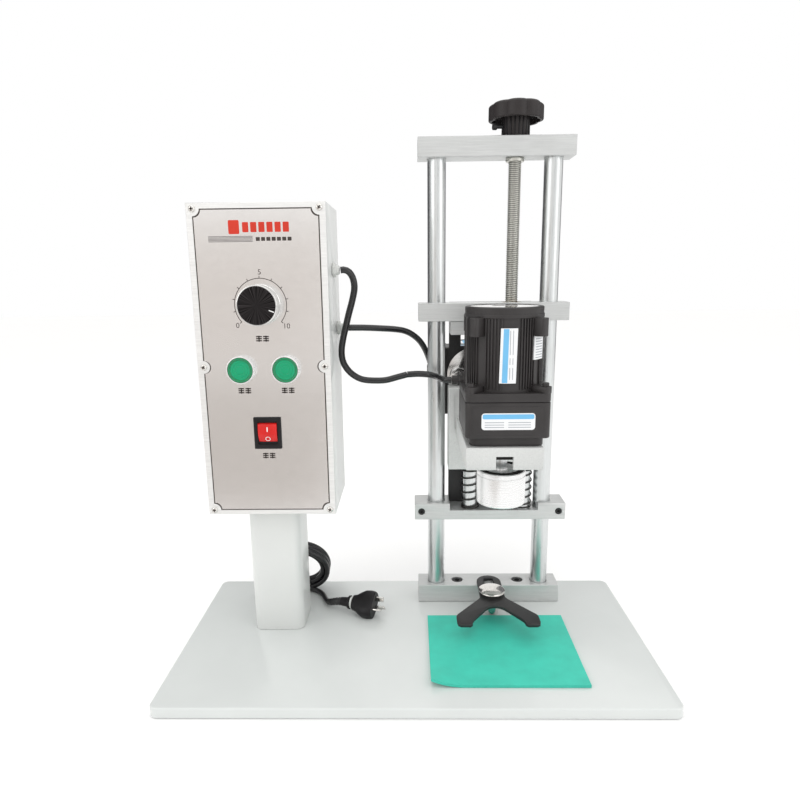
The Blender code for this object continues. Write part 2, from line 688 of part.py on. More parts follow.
def make_slide_block(finish):
    slide = block("slide_block", (slide_left, bar_front, slide_low), (slide_right, slide_back, slide_high),
                  finish["aluminium"], 0.8 * mm)
    for side, x in post_positions.items():
        cut(slide, upright_hole(f"slide_{side}_bore", x, guide_y, guide_radius + gap, slide_low - overshoot,
                                slide_high + overshoot))
    half = screw_radius + 0.8 * mm
    cut(
        slide,
        block("screw_notch", (screw_x - half, 74 * mm, slide_low - overshoot),
              (screw_x + half, slide_back + overshoot, slide_high + overshoot)),
        block("front_groove", (48.5 * mm, bar_front - overshoot, 230 * mm), (58 * mm, bar_front + 1.2 * mm, 269 * mm)),
    )


def make_head_shelf(finish):
    back = bar_front - gap
    shelf = block("head_shelf", (shelf_left, shelf_front, shelf_low), (shelf_right, back, shelf_high),
                  finish["aluminium"], 0.8 * mm)
    ceiling = shelf_high - 6 * mm
    cut(
        shelf,
        block("shelf_hollow", (shelf_left + shelf_wall, shelf_front + shelf_wall, shelf_low - overshoot),
              (shelf_right - shelf_wall, back + overshoot, ceiling)),
        block("shelf_notch", (head_x - 11 * mm, shelf_front - overshoot, shelf_low - overshoot),
              (head_x + 5.5 * mm, shelf_front + 2 * shelf_wall, 235 * mm)),
        upright_hole("shelf_shaft_hole", head_x, head_y, 14 * mm, ceiling - overshoot, shelf_high + overshoot),
    )


def make_head_motor(finish):
    nose_low, nose_high, gear_high = shelf_high + gap, 252.7 * mm, 287 * mm
    gear = square_body("head_gearbox", motor_x, head_y, motor_side / 2, nose_high, gear_high, 6 * mm, finish["motor"])
    join(gear, square_body("gear_nose", motor_x, head_y, 35.3 * mm, nose_low, nose_high + mm, 8 * mm, None))
    cut(gear, upright_hole("gear_bore", head_x, head_y, 6.3 * mm, nose_low - overshoot, 266 * mm))
    flange = gear_high + gap
    motor = square_body("head_motor", motor_x, head_y, motor_side / 2, flange, 295.6 * mm, 6 * mm, finish["motor"])
    side_y = head_cable_end_route[-1][1] * mm
    side_z = head_cable_end_route[-1][2] * mm
    join(
        motor,
        upright_hole("motor_can", motor_x, head_y, 38.5 * mm, 295 * mm, 366 * mm, 40),
        upright_hole("motor_cap", motor_x, head_y, 36.5 * mm, 365 * mm, 376.5 * mm, 40),
        block("motor_box", (50.5 * mm, 12 * mm, flange + 0.4 * mm), (66 * mm, side_y + 8 * mm, side_z + 7 * mm)),
        cylinder("motor_gland", (42.8 * mm, side_y, side_z), (52 * mm, side_y, side_z), 5 * mm, sides=16),
    )


def make_chuck(finish):
    web_low, web_high = 196 * mm, 198.4 * mm
    profile = [
        (17, 207), (17, 211), (24, 211), (24.6, 210.2), (24.6, 206.4), (24.2, 206), (24.6, 205.6), (24.6, 177), (23.8, 176),
        (18, 176), (18, 196), (0, 196),
    ]
    points = [(0, 198.4 * mm), (6.3 * mm, web_high), (6.3 * mm, 207 * mm)]
    points += [(r * mm, z * mm) for r, z in profile]
    points[-1] = (0, web_low)
    chuck = turned("chuck", points, (head_x, head_y, 0), finish["steel"], 40)
    set_origin(chuck, (head_x, head_y, 0))
    liner_profile = [(13.6, 178), (14.4, 195.6), (17.7, 195.6), (17.7, 176.6), (15.4, 176.6)]
    liner = turned("chuck_liner", [(r * mm, z * mm) for r, z in liner_profile], (head_x, head_y, 0), finish["rubber"], 32)
    set_origin(liner, (head_x, head_y, 0))
    spindle = upright_hole("output_spindle", head_x, head_y, 6 * mm, web_high + gap, 265 * mm, 24)
    place_in(machine, spindle, finish["steel"])
    set_origin(spindle, (head_x, head_y, 0))


# Bottle place

def fork_outline():
    """The fork's edge and its slot, with the slot on the line x = fork_x."""
    stem, end_y = 14.5 * mm, 85.5 * mm
    half = [(stem * math.cos(math.radians(a)), end_y - stem + stem * math.sin(math.radians(a)))
            for a in (90, 72, 54, 36, 18, 0)]
    half[0] = (0, end_y)
    half += [(x * mm, y * mm) for x, y in (
        (14.5, 34), (16.5, 30), (43.5, -2.5), (45, -6), (45, -17.5), (44, -21.5), (41, -23.6), (31, -23.8),
        (28.6, -21.5), (27.6, -15.5), (24.2, -10),
    )]
    arch, arch_y = 12.8 * mm, 1.4 * mm
    half += [(arch * math.cos(math.radians(a)), arch_y + arch * math.sin(math.radians(a)))
             for a in (36, 50, 64, 77, 90)]
    half[-1] = (0, arch_y + arch)
    edge = half + [(-x, y) for x, y in reversed(half[1:-1])]
    slot_half, slot_low, slot_high = 5.5 * mm, 37.5 * mm, 78 * mm
    slot = [(-slot_half, slot_low + mm), (-slot_half + mm, slot_low), (slot_half - mm, slot_low),
            (slot_half, slot_low + mm), (slot_half, slot_high - 2 * mm), (slot_half - 2 * mm, slot_high),
            (-slot_half + 2 * mm, slot_high), (-slot_half, slot_high - 2 * mm)]
    return [[(fork_x + x, y) for x, y in line] for line in (edge, slot)]


def make_fork(finish):
    stand = upright_hole("fork_standoff", fork_x, stand_y, 8 * mm, deck + gap, block_top)
    place_in(machine, stand, finish["steel"])
    cut(stand, upright_hole("stand_thread", fork_x, stand_y, 4.3 * mm, block_top - 16 * mm, block_top + overshoot, 20))
    fork_high = fork_low + fork_thick
    fork = outline_block("bottle_fork", fork_outline(), fork_low, fork_high, finish["dark"])
    set_origin(fork, (fork_x, stand_y, 0))
    washer = upright_hole("fork_washer", fork_x, stand_y, 10 * mm, fork_high + gap, fork_high + 1.5 * mm)
    place_in(machine, washer, finish["steel"])
    cut(washer, upright_hole("washer_bore", fork_x, stand_y, 4.3 * mm, fork_high - overshoot, fork_high + 2 * overshoot, 20))
    set_origin(washer, (fork_x, stand_y, 0))
    seat = fork_high / mm + 1.8
    stem_low = block_top / mm - 15
    profile = [(0, seat + 5.2), (5, seat + 5), (10, seat + 4.2), (14, seat + 2.9), (15.4, seat + 2.1), (15.5, seat + 1.5),
               (14.8, seat + 1), (9, seat + 0.7), (8.6, seat), (4, seat), (4, stem_low), (0, stem_low)]
    screw = turned("thumbscrew", [(r * mm, z * mm) for r, z in profile], (fork_x, stand_y, 0), finish["chrome"], 36)
    set_origin(screw, (fork_x, stand_y, 0))


def make_mat(finish):
    x, y = mat_place
    half_x, half_y = mat_size[0] / 2, mat_size[1] / 2
    low = deck + gap
    mat = rounded_block("rubber_mat", (x - half_x, y - half_y, low), (x + half_x, y + half_y, low + mat_size[2]),
                        3 * mm, finish["mat"], 2)
    return mat


# Cords

def make_mains_lead(finish):
    tube("mains_cord_upper", smooth_points(mains_upper_route, cord_spacing), mains_radius, finish["black"])
    tube("mains_cord_lower", smooth_points(mains_lower_route, cord_spacing), mains_radius, finish["black"])
    bevel = 3 * mm
    profile = [
        (coil_outer, coil_half - bevel), (coil_outer, bevel - coil_half), (coil_outer - bevel, -coil_half),
        (coil_inner + bevel, -coil_half), (coil_inner, bevel - coil_half), (coil_inner, coil_half - bevel),
        (coil_inner + bevel, coil_half), (coil_outer - bevel, coil_half),
    ]
    turned("mains_cord_coil", profile, coil_centre, finish["black"], 36, Euler((math.pi / 2 + coil_lean, 0, 0)))
    make_plug(finish)


def make_plug(finish):
    low = deck + gap
    y, back, front = 50 * mm, -72 * mm, -39 * mm
    axis_z = low + 10 * mm
    plug = block("mains_plug", (back, y - 16.5 * mm, low), (front, y + 16.5 * mm, low + 20 * mm), finish["black"])
    soften(plug, 3.5 * mm, 2)
    end = (mains_lower_route[-1][0] + 0.8) * mm
    grip_y, grip_z = mains_lower_route[-1][1] * mm, mains_lower_route[-1][2] * mm
    join(plug, cylinder("plug_grip", (end, grip_y, grip_z), (back + 3 * mm, grip_y, grip_z), 4.2 * mm, sides=20,
                        end_radius=8 * mm))
    # Three flat pins: the earth pin upright, the other two slanting.
    for i, (dy, dz, lean, length) in enumerate(((0, -6.2, 0, 19), (-7.4, 3.4, 30, 16), (7.4, 3.4, -30, 16))):
        pin = block(f"plug_pin_{i}", (-2 * mm, -0.8 * mm, -3.1 * mm), (length * mm, 0.8 * mm, 3.1 * mm))
        turn = Matrix.Rotation(math.radians(lean), 4, "X")
        pin.data.transform(Matrix.Translation((front, y + dy * mm, axis_z + dz * mm)) @ turn)
        join(plug, pin)
    return plug


def make_motor_cables(finish):
    tube("head_motor_cable", smooth_points(head_cable_route, cord_spacing), cable_radius, finish["black"])
    tube("head_motor_cable_end", smooth_points(head_cable_end_route, cord_spacing), cable_radius, finish["black"])
    tube("lift_motor_cable", smooth_points(lift_cable_route, cord_spacing), cable_radius, finish["black"])


def build():
    global machine, cutters
    clear_scene()
    machine = bpy.data.collections.new("capping_machine")
    cutters = bpy.data.collections.new("cutters")
    for collection in (machine, cutters):
        bpy.context.scene.collection.children.link(collection)
    finish = {
        "base": material("base_paint", (0.72, 0.75, 0.74), 0.25),
        "white": material("white_paint", (0.86, 0.86, 0.84), 0.35),
        "steel": material("polished_steel", (0.72, 0.72, 0.72), 0.2, 1.0),
        "chrome": material("hard_chrome", (0.85, 0.86, 0.87), 0.08, 1.0),
        "bronze": material("bronze", (0.55, 0.38, 0.2), 0.4, 1.0),
        "aluminium": material("light_aluminium", (0.68, 0.69, 0.69), 0.45, 0.6),
        "motor": material("motor_black", (0.035, 0.033, 0.033), 0.45),
        "dark": material("black_plate", (0.05, 0.05, 0.05), 0.5),
        "black": material("black_plastic", (0.02, 0.02, 0.02), 0.45),
        "rubber": material("chuck_rubber", (0.06, 0.05, 0.05), 0.8),
        "mat": material("teal_rubber", (0.05, 0.55, 0.47), 0.6),
        "green": material("green_button", (0.05, 0.45, 0.2), 0.3),
        "red": material("red_rocker", (0.6, 0.03, 0.02), 0.3),
        "board": material("circuit_board", (0.02, 0.18, 0.08), 0.5),
    }
    make_base(finish)
    make_post(finish)
    make_box_shell(finish)
    make_front_panel(finish)
    make_rear_cover(finish)
    make_control_board(finish)
    make_glands(finish)
    make_speed_dial(finish)
    make_button("start", -1, finish)
    make_button("stop", 1, finish)
    make_power_switch(finish)
    make_column(finish)
    make_lead_screw(finish)
    make_carriage_bars(finish)
    make_springs(finish)
    make_lift_mount(finish)
    make_lift_drive(finish)
    make_slide_block(finish)
    make_head_shelf(finish)
    make_head_motor(finish)
    make_chuck(finish)
    make_fork(finish)
    make_mat(finish)
    make_mains_lead(finish)
    make_motor_cables(finish)


build()
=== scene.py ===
# Looks of the desktop capping machine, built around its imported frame.
# Metres, +Z up, front towards -Y.
import json
import math

import bmesh
import bpy
from mathutils import Matrix, Vector

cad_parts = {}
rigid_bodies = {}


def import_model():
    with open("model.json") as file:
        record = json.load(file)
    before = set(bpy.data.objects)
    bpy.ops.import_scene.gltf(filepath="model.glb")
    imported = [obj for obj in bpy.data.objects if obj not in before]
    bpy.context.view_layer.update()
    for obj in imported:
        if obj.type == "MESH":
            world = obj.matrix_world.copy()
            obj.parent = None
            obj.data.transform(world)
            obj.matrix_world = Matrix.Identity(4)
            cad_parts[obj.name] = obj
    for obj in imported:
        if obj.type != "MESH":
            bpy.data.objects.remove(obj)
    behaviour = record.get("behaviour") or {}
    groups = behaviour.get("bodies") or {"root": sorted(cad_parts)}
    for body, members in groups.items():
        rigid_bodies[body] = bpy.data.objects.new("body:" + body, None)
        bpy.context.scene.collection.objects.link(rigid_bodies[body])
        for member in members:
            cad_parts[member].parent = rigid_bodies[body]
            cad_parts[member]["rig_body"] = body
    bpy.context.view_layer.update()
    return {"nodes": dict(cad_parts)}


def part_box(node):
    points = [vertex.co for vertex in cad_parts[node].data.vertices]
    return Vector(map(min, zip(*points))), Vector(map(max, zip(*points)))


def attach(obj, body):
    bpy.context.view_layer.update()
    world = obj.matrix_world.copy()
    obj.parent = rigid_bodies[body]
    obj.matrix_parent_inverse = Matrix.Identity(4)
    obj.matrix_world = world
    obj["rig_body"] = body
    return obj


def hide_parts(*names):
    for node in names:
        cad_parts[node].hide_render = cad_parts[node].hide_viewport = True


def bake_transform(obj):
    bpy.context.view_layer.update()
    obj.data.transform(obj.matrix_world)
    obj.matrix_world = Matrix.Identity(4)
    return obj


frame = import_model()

mm = 0.001
facing = {  # turns a shape made along +Z to the way it faces
    "up": Matrix.Identity(4),
    "front": Matrix.Rotation(math.pi / 2, 4, "X"),
    "back": Matrix.Rotation(-math.pi / 2, 4, "X"),
    "right": Matrix.Rotation(math.pi / 2, 4, "Y"),
}


# The view and the studio

studio = {
    "cameraPlace": (-1.06 * mm, -610.18 * mm, 404.66 * mm), "cameraTilt": 78.3, "cameraPan": 1.071,
    "cameraRoll": -0.66, "lens": 27.22, "floorTone": 0.95, "floorHalf": 6, "floorHeight": -0.4 * mm,
    "worldStrength": 1.06,
    "lights": (  # name, place, target, size, power
        ("overhead_light", (0.1, -0.15, 1.7), (0, 0.02, 0.1), (1.7, 1.5), 5),
        ("left_light", (-1.4, -1.1, 1.0), (0, 0, 0.25), (0.9, 1.3), 4),
        ("right_light", (1.5, -1.0, 0.9), (0.05, 0, 0.25), (0.8, 1.2), 3),
    ),
    "lyingCard": ((-1.7, -1.9), (-0.12, -0.36), 4 * mm, (0.63, 0.588, 0.5565)),  # two corners, height, colour
    "cards": (  # name, the two ends of its foot, height, colour
        ("card_front", (-2.6, -2.3), (-0.25, -2.3), 0.66, (0.75, 0.7, 0.6625)),
        ("card_left", (-1.5, -0.1), (-1.5, 0.45), 2, (0.34, 0.34, 0.35)),
        ("card_left_back", (-1.5, 0.5), (-0.5, 2.6), 2, (0.09, 0.09, 0.095)),
        ("card_right_back", (1.7, 0.9), (0.9, 2.8), 2, (0.22, 0.22, 0.23)),
        ("card_strip", (0.3, -1.4), (0.42, -1.4), 1.8, (0.35, 0.35, 0.36)),
    ),
}


def setCamera():
    data = bpy.data.cameras.new("camera")
    data.lens = studio["lens"]
    data.sensor_width = 36
    data.clip_start = 0.01
    camera = bpy.data.objects.new("camera", data)
    bpy.context.scene.collection.objects.link(camera)
    camera.matrix_world = (
        Matrix.Translation(studio["cameraPlace"])
        @ Matrix.Rotation(math.radians(studio["cameraPan"]), 4, "Z")
        @ Matrix.Rotation(math.radians(studio["cameraTilt"]), 4, "X")
        @ Matrix.Rotation(math.radians(studio["cameraRoll"]), 4, "Z")
    )
    bpy.context.scene.camera = camera


def softLight(name, place, target, size, power):
    data = bpy.data.lights.new(name, "AREA")
    data.shape = "RECTANGLE"
    data.size, data.size_y = size
    data.energy = power
    light = bpy.data.objects.new(name, data)
    bpy.context.scene.collection.objects.link(light)
    aim = Vector(target) - Vector(place)
    light.matrix_world = Matrix.Translation(place) @ aim.to_track_quat("-Z", "Y").to_matrix().to_4x4()


def arrangeNodes(tree, groups):
    # each group of nodes gets a labelled frame and a row of its own
    for row, (label, members) in enumerate(groups):
        around = tree.nodes.new("NodeFrame")
        around.label = label
        for column, node in enumerate(members):
            node.parent = around
            node.location = (column * 230 - 1200, -row * 340)


def emptyMaterial(name):
    made = bpy.data.materials.new(name)
    made.use_nodes = True
    made.node_tree.nodes.clear()
    return made, made.node_tree, made.node_tree.nodes, made.node_tree.links


def floorFinish():
    made, tree, nodes, links = emptyMaterial("pale_floor")
    place = nodes.new("ShaderNodeTexCoord")
    place.label = "floor position"
    cloud = nodes.new("ShaderNodeTexNoise")
    cloud.label = "faint paper tone"
    cloud.inputs["Scale"].default_value = 3
    tone = nodes.new("ShaderNodeValToRGB")
    tone.label = "two close whites"
    low = studio["floorTone"] - 0.01
    tone.color_ramp.elements[0].color = (low, low, low, 1)
    tone.color_ramp.elements[1].color = (studio["floorTone"],) * 3 + (1,)
    shader = nodes.new("ShaderNodeBsdfPrincipled")
    shader.label = "matt paper"
    shader.inputs["Roughness"].default_value = 0.9
    shader.inputs["Specular IOR Level"].default_value = 0.1
    out = nodes.new("ShaderNodeOutputMaterial")
    out.label = "finished surface"
    links.new(place.outputs["Object"], cloud.inputs["Vector"])
    links.new(cloud.outputs["Fac"], tone.inputs["Fac"])
    links.new(tone.outputs["Color"], shader.inputs["Base Color"])
    links.new(shader.outputs["BSDF"], out.inputs["Surface"])
    arrangeNodes(tree, (("paper", (place, cloud, tone, shader, out)),))
    return made


def reflectorCard(name, corners, colour):
    # seen only in polished metal, so that it shows its shape
    mesh = bpy.data.meshes.new(name)
    mesh.from_pydata([Vector(corner) for corner in corners], [], [(0, 1, 2, 3)])
    card = bpy.data.objects.new(name, mesh)
    bpy.context.scene.collection.objects.link(card)
    card.visible_camera = card.visible_diffuse = card.visible_shadow = card.visible_transmission = False
    made = bpy.data.materials.new(name)
    made.use_nodes = True
    shader = made.node_tree.nodes["Principled BSDF"]
    shader.inputs["Base Color"].default_value = (0, 0, 0, 1)
    shader.inputs["Emission Color"].default_value = (*colour, 1)
    shader.inputs["Emission Strength"].default_value = 1
    shader.inputs["Specular IOR Level"].default_value = 0
    mesh.materials.append(made)


def setStudio():
    bpy.context.scene.view_settings.view_transform = "Standard"
    world = bpy.data.worlds.new("white_studio")
    bpy.context.scene.world = world
    world.use_nodes = True
    tree = world.node_tree
    tree.nodes.clear()
    rays = tree.nodes.new("ShaderNodeLightPath")
    rays.label = "what is seen directly"
    seen = tree.nodes.new("ShaderNodeBackground")
    seen.label = "plain white"
    lit = tree.nodes.new("ShaderNodeBackground")
    lit.label = "light of the room"
    lit.inputs["Strength"].default_value = studio["worldStrength"]
    lit.inputs["Color"].default_value = (1, 0.995, 0.985, 1)
    seen.inputs["Color"].default_value = (1, 1, 1, 1)
    choose = tree.nodes.new("ShaderNodeMixShader")
    out = tree.nodes.new("ShaderNodeOutputWorld")
    tree.links.new(rays.outputs["Is Camera Ray"], choose.inputs[0])
    tree.links.new(lit.outputs[0], choose.inputs[1])
    tree.links.new(seen.outputs[0], choose.inputs[2])
    tree.links.new(choose.outputs[0], out.inputs["Surface"])
    arrangeNodes(tree, (("room", (rays, seen, lit, choose, out)),))

    for name, place, target, size, power in studio["lights"]:
        softLight(name, place, target, size, power)

    half, height = studio["floorHalf"], studio["floorHeight"]
    corners = [(-half, -half, height), (half, -half, height), (half, half, height), (-half, half, height)]
    mesh = bpy.data.meshes.new("floor")
    mesh.from_pydata(corners, [], [(0, 1, 2, 3)])
    mesh.materials.append(floorFinish())
    floor = bpy.data.objects.new("floor", mesh)
    bpy.context.scene.collection.objects.link(floor)

    (left, front), (right, back), height, colour = studio["lyingCard"]
    corners = ((left, front, height), (right, front, height), (right, back, height), (left, back, height))
    reflectorCard("card_low", corners, colour)
    for name, start, end, height, colour in studio["cards"]:
        reflectorCard(name, ((*start, 0), (*end, 0), (*end, height), (*start, height)), colour)


setCamera()
setStudio()
print("studio ready")


# Materials

def paintFinish(name, colour, roughness=0.35, coat=0.3, peel=0.02, mottle=0.03):
    made, tree, nodes, links = emptyMaterial(name)
    place = nodes.new("ShaderNodeTexCoord")
    place.label = "position on the painted part"
    cloud = nodes.new("ShaderNodeTexNoise")
    cloud.label = "uneven film thickness"
    cloud.inputs["Scale"].default_value = 14
    cloud.inputs["Detail"].default_value = 4
    tone = nodes.new("ShaderNodeValToRGB")
    tone.label = "two close paint tones"
    tone.color_ramp.elements[0].position = 0.3
    tone.color_ramp.elements[1].position = 0.7
    tone.color_ramp.elements[0].color = tuple(c * (1 - mottle) for c in colour) + (1,)
    tone.color_ramp.elements[1].color = tuple(min(1, c * (1 + mottle)) for c in colour) + (1,)
    rub = nodes.new("ShaderNodeTexNoise")
    rub.label = "wiped patches"
    rub.inputs["Scale"].default_value = 38
    rub.inputs["Detail"].default_value = 6
    rub.inputs["Roughness"].default_value = 0.65
    gloss = nodes.new("ShaderNodeMapRange")
    gloss.label = "gloss range"
    gloss.inputs["To Min"].default_value = roughness * 0.75
    gloss.inputs["To Max"].default_value = roughness * 1.3
    skin = nodes.new("ShaderNodeTexNoise")
    skin.label = "orange peel"
    skin.inputs["Scale"].default_value = 420
    skin.inputs["Detail"].default_value = 2
    bump = nodes.new("ShaderNodeBump")
    bump.label = "peel height"
    bump.inputs["Strength"].default_value = peel * 10
    bump.inputs["Distance"].default_value = 0.0002
    shader = nodes.new("ShaderNodeBsdfPrincipled")
    shader.label = "painted surface"
    shader.inputs["Coat Weight"].default_value = coat
    shader.inputs["Coat Roughness"].default_value = 0.12
    out = nodes.new("ShaderNodeOutputMaterial")
    out.label = "finished surface"
    links.new(place.outputs["Object"], cloud.inputs["Vector"])
    links.new(place.outputs["Object"], rub.inputs["Vector"])
    links.new(place.outputs["Object"], skin.inputs["Vector"])
    links.new(cloud.outputs["Fac"], tone.inputs["Fac"])
    links.new(tone.outputs["Color"], shader.inputs["Base Color"])
    links.new(rub.outputs["Fac"], gloss.inputs["Value"])
    links.new(gloss.outputs["Result"], shader.inputs["Roughness"])
    links.new(skin.outputs["Fac"], bump.inputs["Height"])
    links.new(bump.outputs["Normal"], shader.inputs["Normal"])
    links.new(shader.outputs["BSDF"], out.inputs["Surface"])
    arrangeNodes(tree, (("colour", (place, cloud, tone)), ("gloss", (rub, gloss)),
                        ("peel", (skin, bump)), ("surface", (shader, out))))
    return made


def metalFinish(name, colour, roughness, grain=(40, 40, 40), depth=0.15, smudge=0.3, tint=None, metallic=1.0,
                contrast=1.0):
    # grain is the noise's scale along X, Y and Z: a low number draws the marks out along that axis
    made, tree, nodes, links = emptyMaterial(name)
    place = nodes.new("ShaderNodeTexCoord")
    place.label = "position on the metal"
    stretch = nodes.new("ShaderNodeMapping")
    stretch.label = "draw out the tool marks"
    stretch.inputs["Scale"].default_value = grain
    marks = nodes.new("ShaderNodeTexNoise")
    marks.label = "tool marks"
    marks.inputs["Scale"].default_value = 12
    marks.inputs["Detail"].default_value = 8
    marks.inputs["Roughness"].default_value = 0.7
    tone = nodes.new("ShaderNodeValToRGB")
    tone.label = "metal tones"
    tone.color_ramp.elements[0].position = 0.3
    tone.color_ramp.elements[1].position = 0.72
    tone.color_ramp.elements[0].color = tuple(c * (1 - 0.12 * contrast) for c in colour) + (1,)
    tone.color_ramp.elements[1].color = tuple(min(1, c * (1 + 0.06 * contrast)) for c in colour) + (1,)
    patch = nodes.new("ShaderNodeTexNoise")
    patch.label = "handling smudges"
    patch.inputs["Scale"].default_value = 17
    patch.inputs["Detail"].default_value = 5
    patch.inputs["Distortion"].default_value = 0.6
    stain = nodes.new("ShaderNodeMapRange")
    stain.label = "where smudges show"
    stain.inputs["From Min"].default_value = 0.42
    stain.inputs["From Max"].default_value = 0.75
    stain.inputs["To Max"].default_value = smudge
    blendTone = nodes.new("ShaderNodeMix")
    blendTone.label = "smudge colour"
    blendTone.data_type = "RGBA"
    blendTone.inputs[7].default_value = (*(tint or tuple(c * 0.7 for c in colour)), 1)
    gloss = nodes.new("ShaderNodeMapRange")
    gloss.label = "roughness of the marks"
    gloss.inputs["To Min"].default_value = roughness * (1 - 0.3 * contrast)
    gloss.inputs["To Max"].default_value = roughness * (1 + 0.4 * contrast)
    dull = nodes.new("ShaderNodeMath")
    dull.label = "smudges are duller"
    dull.operation = "MULTIPLY_ADD"
    dull.inputs[1].default_value = 0.25
    bump = nodes.new("ShaderNodeBump")
    bump.label = "mark depth"
    bump.inputs["Strength"].default_value = depth
    bump.inputs["Distance"].default_value = 0.0001
    shader = nodes.new("ShaderNodeBsdfPrincipled")
    shader.label = "machined metal"
    shader.inputs["Metallic"].default_value = metallic
    out = nodes.new("ShaderNodeOutputMaterial")
    out.label = "finished surface"
    links.new(place.outputs["Object"], stretch.inputs["Vector"])
    links.new(stretch.outputs["Vector"], marks.inputs["Vector"])
    links.new(marks.outputs["Fac"], tone.inputs["Fac"])
    links.new(place.outputs["Object"], patch.inputs["Vector"])
    links.new(patch.outputs["Fac"], stain.inputs["Value"])
    links.new(stain.outputs["Result"], blendTone.inputs[0])
    links.new(tone.outputs["Color"], blendTone.inputs[6])
    links.new(blendTone.outputs[2], shader.inputs["Base Color"])
    links.new(marks.outputs["Fac"], gloss.inputs["Value"])
    links.new(stain.outputs["Result"], dull.inputs[0])
    links.new(gloss.outputs["Result"], dull.inputs[2])
    links.new(dull.outputs["Value"], shader.inputs["Roughness"])
    links.new(marks.outputs["Fac"], bump.inputs["Height"])
    links.new(bump.outputs["Normal"], shader.inputs["Normal"])
    links.new(shader.outputs["BSDF"], out.inputs["Surface"])
    arrangeNodes(tree, (("tool marks", (place, stretch, marks, tone)), ("smudges", (patch, stain, blendTone)),
                        ("gloss", (gloss, dull)), ("surface", (bump, shader, out))))
    return made


def mouldedFinish(name, colour, roughness=0.5, grainSize=900, grainDepth=0.25, specular=0.4, wear=0.25, coat=0.0,
                  subsurface=0.0):
    # plastics, rubbers and painted castings: a fine pebbled skin, uneven tone and a little dust
    made, tree, nodes, links = emptyMaterial(name)
    place = nodes.new("ShaderNodeTexCoord")
    place.label = "position on the moulding"
    cloud = nodes.new("ShaderNodeTexNoise")
    cloud.label = "uneven tone"
    cloud.inputs["Scale"].default_value = 45
    cloud.inputs["Detail"].default_value = 5
    tone = nodes.new("ShaderNodeValToRGB")
    tone.label = "dark and light of the skin"
    tone.color_ramp.elements[0].position = 0.32
    tone.color_ramp.elements[1].position = 0.75
    tone.color_ramp.elements[0].color = tuple(c * (1 - 0.5 * wear) for c in colour) + (1,)
    tone.color_ramp.elements[1].color = tuple(min(1, c * (1 + wear)) for c in colour) + (1,)
    pebble = nodes.new("ShaderNodeTexVoronoi")
    pebble.label = "mould pebbles"
    pebble.inputs["Scale"].default_value = grainSize
    grit = nodes.new("ShaderNodeTexNoise")
    grit.label = "fine grit"
    grit.inputs["Scale"].default_value = grainSize * 1.7
    grit.inputs["Detail"].default_value = 3
    both = nodes.new("ShaderNodeMath")
    both.label = "pebbles and grit"
    both.operation = "ADD"
    bump = nodes.new("ShaderNodeBump")
    bump.label = "skin height"
    bump.inputs["Strength"].default_value = grainDepth
    bump.inputs["Distance"].default_value = 0.0001
    gloss = nodes.new("ShaderNodeMapRange")
    gloss.label = "worn and dull places"
    gloss.inputs["To Min"].default_value = roughness * 0.8
    gloss.inputs["To Max"].default_value = min(1.0, roughness * 1.25)
    shader = nodes.new("ShaderNodeBsdfPrincipled")
    shader.label = "moulded skin"
    shader.inputs["Specular IOR Level"].default_value = specular
    shader.inputs["Coat Weight"].default_value = coat
    shader.inputs["Subsurface Weight"].default_value = subsurface
    shader.inputs["Subsurface Scale"].default_value = 0.002
    out = nodes.new("ShaderNodeOutputMaterial")
    out.label = "finished surface"
    links.new(place.outputs["Object"], cloud.inputs["Vector"])
    links.new(place.outputs["Object"], pebble.inputs["Vector"])
    links.new(place.outputs["Object"], grit.inputs["Vector"])
    links.new(cloud.outputs["Fac"], tone.inputs["Fac"])
    links.new(tone.outputs["Color"], shader.inputs["Base Color"])
    links.new(cloud.outputs["Fac"], gloss.inputs["Value"])
    links.new(gloss.outputs["Result"], shader.inputs["Roughness"])
    links.new(pebble.outputs["Distance"], both.inputs[0])
    links.new(grit.outputs["Fac"], both.inputs[1])
    links.new(both.outputs["Value"], bump.inputs["Height"])
    links.new(bump.outputs["Normal"], shader.inputs["Normal"])
    links.new(shader.outputs["BSDF"], out.inputs["Surface"])
    arrangeNodes(tree, (("tone", (place, cloud, tone, gloss)), ("skin", (pebble, grit, both, bump)),
                        ("surface", (shader, out))))
    return made


